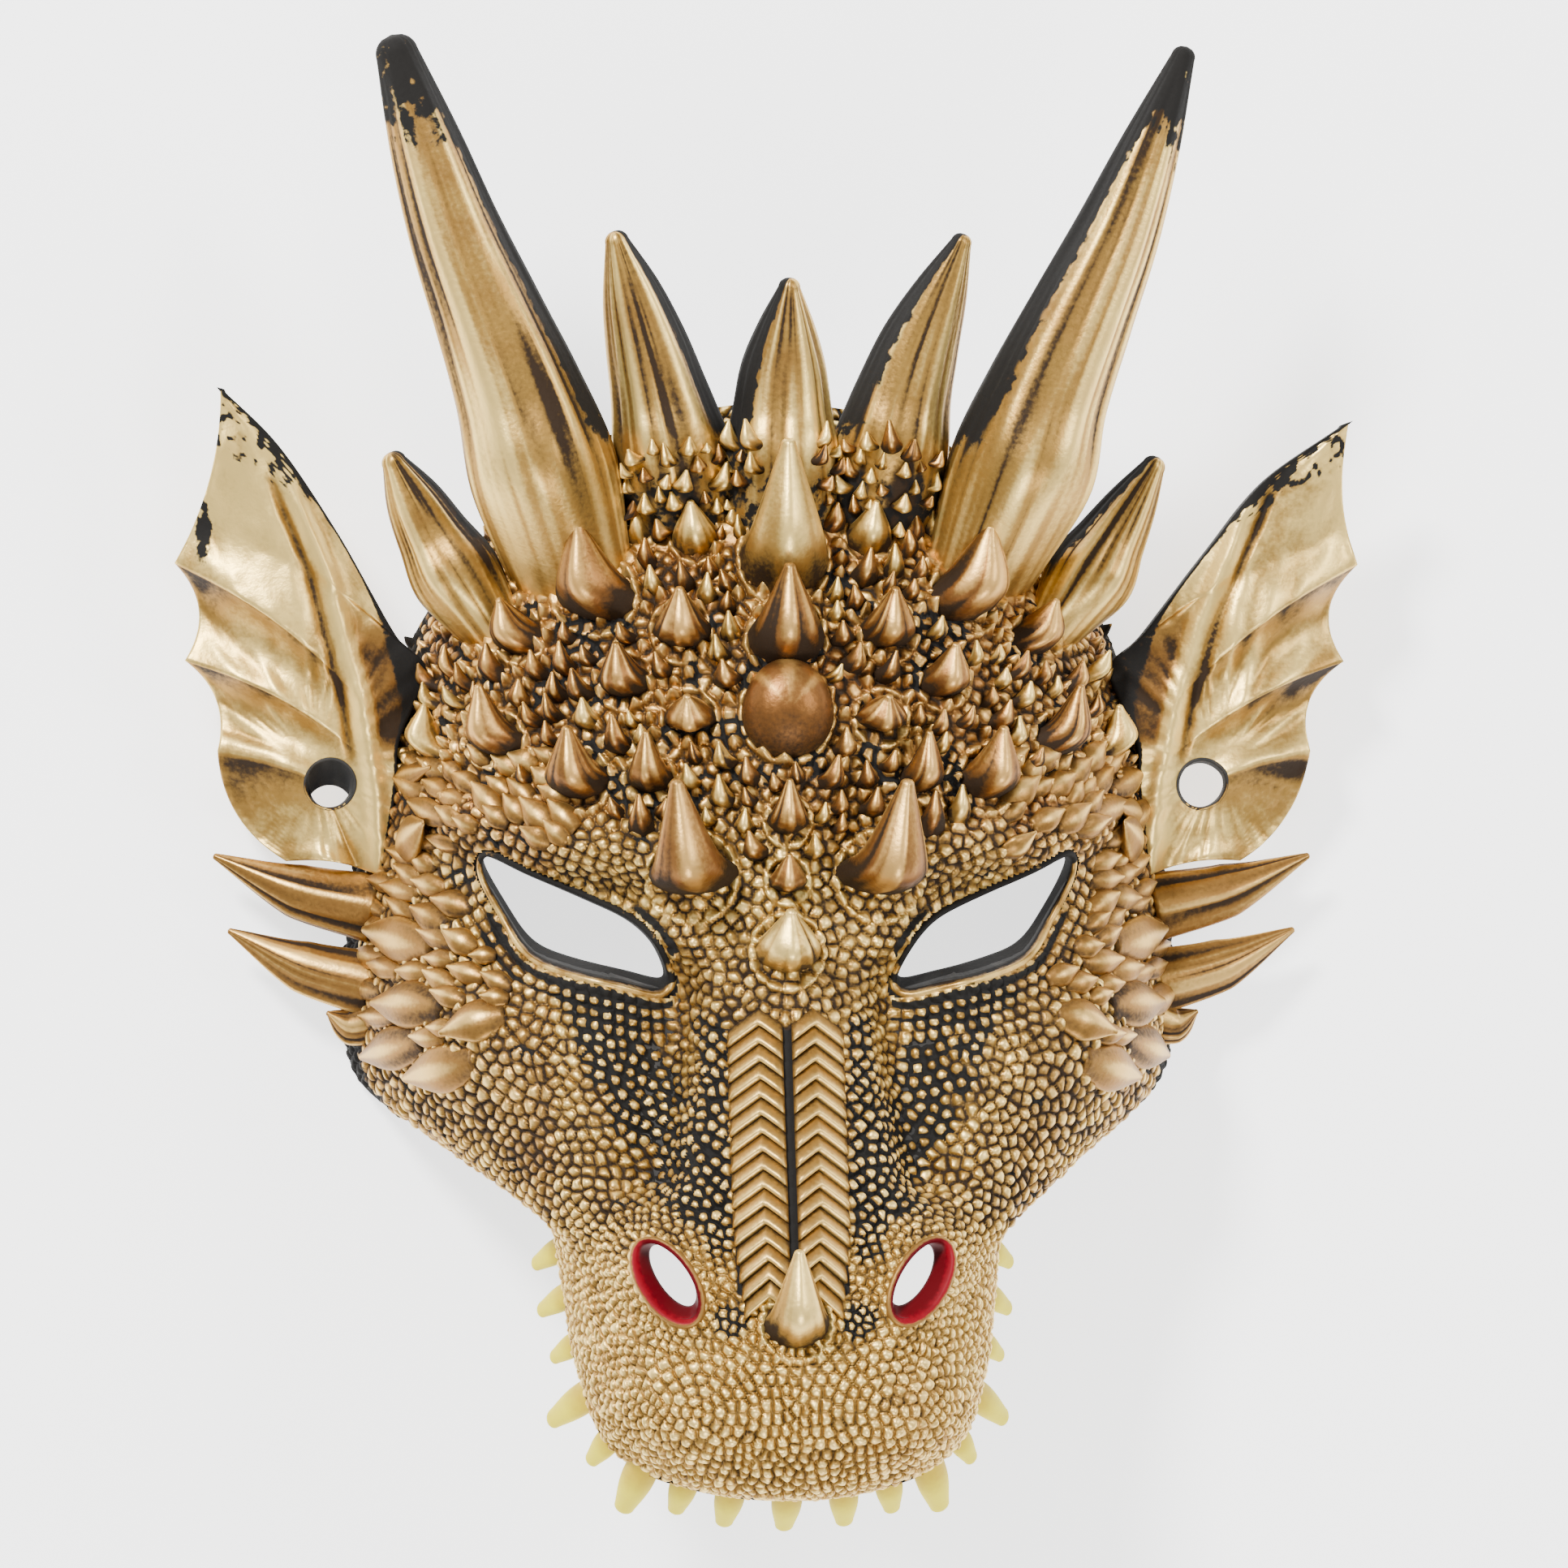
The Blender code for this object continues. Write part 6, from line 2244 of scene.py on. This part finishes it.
class PaintMix:
    """One finish in the making."""

    def __init__(self, name: str) -> None:
        """Starts a finish.

        Args:
            name: its name.
        """
        self.material = bpy.data.materials.new(name)
        self.material.use_nodes = True
        self.tree = self.material.node_tree
        self.shader = self.tree.nodes["Principled BSDF"]

    def join(self, target: bpy.types.NodeSocket, value: object) -> None:
        """Sets a socket to a plain value, or links it.

        Args:
            target: the socket.
            value: a number, a colour, a reading or another socket.
        """
        if isinstance(value, Reading):
            value = value.socket
        if isinstance(value, bpy.types.NodeSocket):
            self.tree.links.new(value, target)
        elif isinstance(value, tuple) and len(value) == 3 and len(target.default_value) == 4:
            target.default_value = (*value, 1)
        else:
            target.default_value = value

    def node(self, kind: str, settings: dict[str, object], values: dict[str | int, object]) -> bpy.types.Node:
        """Adds a node.

        Args:
            kind: its type.
            settings: its settings, which are made first.
            values: what goes into its sockets, by name or number.

        Returns:
            The node.
        """
        node = self.tree.nodes.new(kind)
        for key, setting in settings.items():
            setattr(node, key, setting)
        for key, value in values.items():
            target = node.inputs[key] if isinstance(key, int) else self.open_socket(node.inputs, key)
            self.join(target, value)
        return node

    def open_socket(self, sockets: bpy.types.bpy_prop_collection, name: str) -> bpy.types.NodeSocket:
        """Finds the socket in use with that name."""
        return next(socket for socket in sockets if socket.name == name and socket.enabled)

    def reading(
        self, kind: str, settings: dict[str, object], values: dict[str | int, object], output: str | int
    ) -> Reading:
        """Adds a node and reads a number from one of its outputs, by name or number."""
        return Reading(self, self.node(kind, settings, values).outputs[output])

    def painted(self, name: str) -> Reading:
        """Reads a paint value of the piece's own points."""
        return self.reading("ShaderNodeAttribute", {"attribute_name": name}, {}, "Fac")

    def mottle(self, size: float, detail: float = 2.0) -> Reading:
        """Reads uneven random values over the piece.

        Args:
            size: size of the spots, in millimetres.
            detail: how much finer detail they have.

        Returns:
            Values round a half.
        """
        where = self.node("ShaderNodeTexCoord", {}, {}).outputs["Object"]
        values = {"Vector": where, "Scale": 1000.0 / size, "Detail": detail}
        return self.reading("ShaderNodeTexNoise", {}, values, "Fac")

    def blend(self, first: object, second: object, share: Reading | float) -> bpy.types.NodeSocket:
        """Mixes two colours: the first where the share is 0, and the second where it is 1."""
        mixed = self.node("ShaderNodeMix", {"data_type": "RGBA"}, {"Factor": share, "A": first, "B": second})
        return self.open_socket(mixed.outputs, "Result")

    def wear(self, values: dict[str, object]) -> bpy.types.Material:
        """Sets the shader's sockets by name, and gives the finished material."""
        for key, value in values.items():
            self.join(self.shader.inputs[key], value)
        return self.material

    def bumped(self, height: Reading, strength: float, distance: float) -> bpy.types.NodeSocket:
        """Gives the normal of a roughened surface. A height of 1 stands for the distance, in metres."""
        values = {"Height": height, "Strength": strength, "Distance": distance}
        return self.node("ShaderNodeBump", {}, values).outputs["Normal"]


@dataclass(frozen=True)
class GoldPaint:
    """Aged gold sprayed over black foam: cream-gold tops with painted highlights, a brown wash with painted
    shade in the grooves, and foam bare in places.
    """

    name: str = "aged_gold_paint"
    top: Colour = (0.93, 0.67, 0.215)
    mid: Colour = (0.41, 0.235, 0.055)
    copper_top: Colour = (0.60, 0.31, 0.085)
    copper_mid: Colour = (0.22, 0.092, 0.025)
    wash: Colour = (0.022, 0.011, 0.004)
    foam: Colour = (0.008, 0.007, 0.006)
    metal: float = 0.82
    rough: float = 0.36
    shine: float = 0.22

    def material(self) -> bpy.types.Material:
        """Mixes the paint.

        Returns:
            The material.
        """
        mix = PaintMix(self.name)
        tops, copper = mix.painted("tops"), mix.painted("copper")
        soot, tint = mix.painted("soot"), mix.painted("tint")
        fine, broad = mix.mottle(0.9, 3.0), mix.mottle(7.0, 3.0)
        height = (tops + (fine - 0.5) * 0.30 + (tint - 0.5) * 0.20).clamped()
        red = (copper + (broad - 0.5) * 0.5).clamped()
        mid = mix.blend(self.mid, self.copper_mid, red)
        top = mix.blend(self.top, self.copper_top, red * 0.85)
        # Painted light: the colour runs from the dark wash and painted shade in the grooves up to a cream
        # painted highlight on the tops.
        base = mix.blend(self.wash, mid, height.eased(0.10, 0.46))
        base = mix.blend(base, top, height.eased(0.44, 0.92))
        # Black where the foam is bare, and black painted shade under and behind parts and in hollows, as each
        # piece marks it.
        bare = (soot + (fine - 0.5) * 0.55 + (broad - 0.5) * 0.25).eased(0.42, 0.66)
        base = mix.blend(base, self.foam, bare)
        covered = (1 - bare) * height.eased(0.0, 0.4)
        return mix.wear(
            {
                "Base Color": base,
                "Metallic": covered * self.metal,
                "Roughness": self.rough + 0.36 * (1 - covered) + 0.12 * fine,
                "Specular IOR Level": self.shine,
                "Normal": mix.bumped(fine, 0.35, 0.0002),
            }
        )


@dataclass(frozen=True)
class BareFoam:
    """Soft black foam with fine open pores."""

    name: str = "black_foam"
    colour: Colour = (0.014, 0.013, 0.012)
    worn: Colour = (0.035, 0.032, 0.029)
    rough: float = 0.78

    def material(self) -> bpy.types.Material:
        """Mixes the finish.

        Returns:
            The material.
        """
        mix = PaintMix(self.name)
        pores = mix.mottle(0.7, 2.0)
        base = mix.blend(self.colour, self.worn, mix.mottle(6.0).eased(0.45, 0.7))
        normal = mix.bumped(pores, 0.4, 0.0003)
        return mix.wear({"Base Color": base, "Roughness": self.rough, "Normal": normal})


@dataclass(frozen=True)
class ToothPaint:
    """Yellowed tooth paint, darker at the root."""

    name: str = "tooth_paint"
    tip: Colour = (0.80, 0.67, 0.006)
    root: Colour = (0.56, 0.38, 0.01)
    rough: float = 0.5
    shine: float = 0.2

    def material(self) -> bpy.types.Material:
        """Mixes the paint.

        Returns:
            The material.
        """
        mix = PaintMix(self.name)
        # Darker towards the root.
        stain = (mix.painted("root") + (mix.mottle(1.6) - 0.5) * 0.5).clamped()
        base = mix.blend(self.tip, self.root, stain)
        return mix.wear({"Base Color": base, "Roughness": self.rough, "Specular IOR Level": self.shine})


@dataclass(frozen=True)
class NostrilPaint:
    """Dark red paint down the nostrils, with gold on the rim and a pale overspray where they meet."""

    name: str = "nostril_paint"
    rim: Colour = (0.30, 0.165, 0.045)
    red: Colour = (0.095, 0.0, 0.003)
    pale: Colour = (0.21, 0.001, 0.008)
    rough: float = 0.5
    shine: float = 0.12

    def material(self) -> bpy.types.Material:
        """Mixes the paint.

        Returns:
            The material.
        """
        mix = PaintMix(self.name)
        depth, overspray = mix.painted("depth"), mix.painted("overspray")
        fine = mix.mottle(1.0)
        inside = (depth + (fine - 0.5) * 0.10).eased(0.02, 0.12)
        base = mix.blend(self.red, self.pale, (overspray + (fine - 0.5) * 0.6).eased(0.45, 0.95))
        base = mix.blend(self.rim, base, inside)
        metal = (1 - inside) * 0.75
        values = {"Base Color": base, "Roughness": self.rough, "Metallic": metal}
        return mix.wear({**values, "Specular IOR Level": self.shine})


@dataclass(frozen=True)
class Studio:
    """The pale floor, the soft light and the camera that looks straight down on the face."""

    target: Point = (0.0004, 0.0, 0.060)
    yaw: float = 4.5
    distance: float = 2.0
    lens: float = 228.6
    floor_half: float = 3.0
    floor_drop: float = 0.0002
    floor_colour: Colour = (0.94, 0.94, 0.94)
    floor_glow: float = 2.0
    world_colour: Colour = (1.0, 1.0, 1.0)
    world_strength: float = 0.62
    lamps: tuple[tuple[str, Point, float, float], ...] = (
        ("key_light", (-0.65, 0.85, 1.20), 0.32, 42.0),
        ("fill_light", (0.85, 0.25, 0.9), 0.5, 8.0),
        ("low_light", (0.1, -0.9, 0.8), 0.4, 8.0),
    )

    def build(self) -> None:
        """Sets up the floor, the lights and the camera."""
        mesh = bpy.data.meshes.new("floor")
        corners = [(x * self.floor_half, y * self.floor_half, -self.floor_drop) for x, y in CORNERS]
        mesh.from_pydata(corners, [], [(0, 1, 2, 3)])
        floor = bpy.data.objects.new("floor", mesh)
        bpy.context.scene.collection.objects.link(floor)
        values = {
            "Base Color": self.floor_colour,
            "Roughness": 0.9,
            "Emission Color": self.floor_colour,
            "Emission Strength": self.floor_glow,
        }
        mesh.materials.append(PaintMix("pale_floor").wear(values))
        world = bpy.data.worlds.new("studio")
        world.use_nodes = True
        background = world.node_tree.nodes["Background"]
        background.inputs["Color"].default_value = (*self.world_colour, 1)
        background.inputs["Strength"].default_value = self.world_strength
        bpy.context.scene.world = world
        for name, place, size, power in self.lamps:
            light = bpy.data.lights.new(name, "AREA")
            light.shape = "DISK"
            light.size = size
            light.energy = power
            lamp = bpy.data.objects.new(name, light)
            lamp.location = place
            aim = Vector(self.target) - Vector(place)
            lamp.rotation_euler = aim.to_track_quat("-Z", "Y").to_euler()
            bpy.context.scene.collection.objects.link(lamp)
        turn = math.radians(self.yaw)
        back = Vector((-math.sin(turn), 0, math.cos(turn)))
        right = Vector((math.cos(turn), 0, math.sin(turn)))
        up = Vector((0, 1, 0))
        lens = bpy.data.cameras.new("photo_camera")
        lens.lens = self.lens
        lens.sensor_width = 36.0
        camera = bpy.data.objects.new("photo_camera", lens)
        place = Vector(self.target) + back * self.distance
        camera.matrix_world = Matrix(
            (
                (right.x, up.x, back.x, place.x),
                (right.y, up.y, back.y, place.y),
                (right.z, up.z, back.z, place.z),
                (0, 0, 0, 1),
            )
        )
        bpy.context.scene.collection.objects.link(camera)
        bpy.context.scene.camera = camera


def write_size() -> None:
    """Updates the view layer.
    """
    bpy.context.view_layer.update()


def main() -> None:
    """Dresses the mask and sets up its picture."""
    logging.basicConfig(level=logging.INFO, format="%(message)s")
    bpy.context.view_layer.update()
    face, openings = FaceForm(), Openings()
    grid = face.grid(260, 260)
    skin = Surface(grid)
    gold, foam = GoldPaint().material(), BareFoam().material()
    body = FoamBody(face).build(skin, openings, foam)
    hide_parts("mask")
    thorns, horns = Thorns(skin), Horns(skin)
    ScaleSkin(face, openings, thorns.placed(), horns.horns).build(gold)
    HoleRims(skin).build(openings, gold, NostrilPaint().material())
    Thorns(Surface(grid, horns.build(gold))).build_hairline(gold)
    Ears().build(openings, gold, foam)
    thorns.build(gold)
    JawSpikes().build(gold)
    CheekScales(skin, openings).build(gold)
    BridgePlates(skin).build(gold)
    Teeth(grid).build(ToothPaint().material())
    Studio().build()
    write_size()


if __name__ == "__main__":
    main()
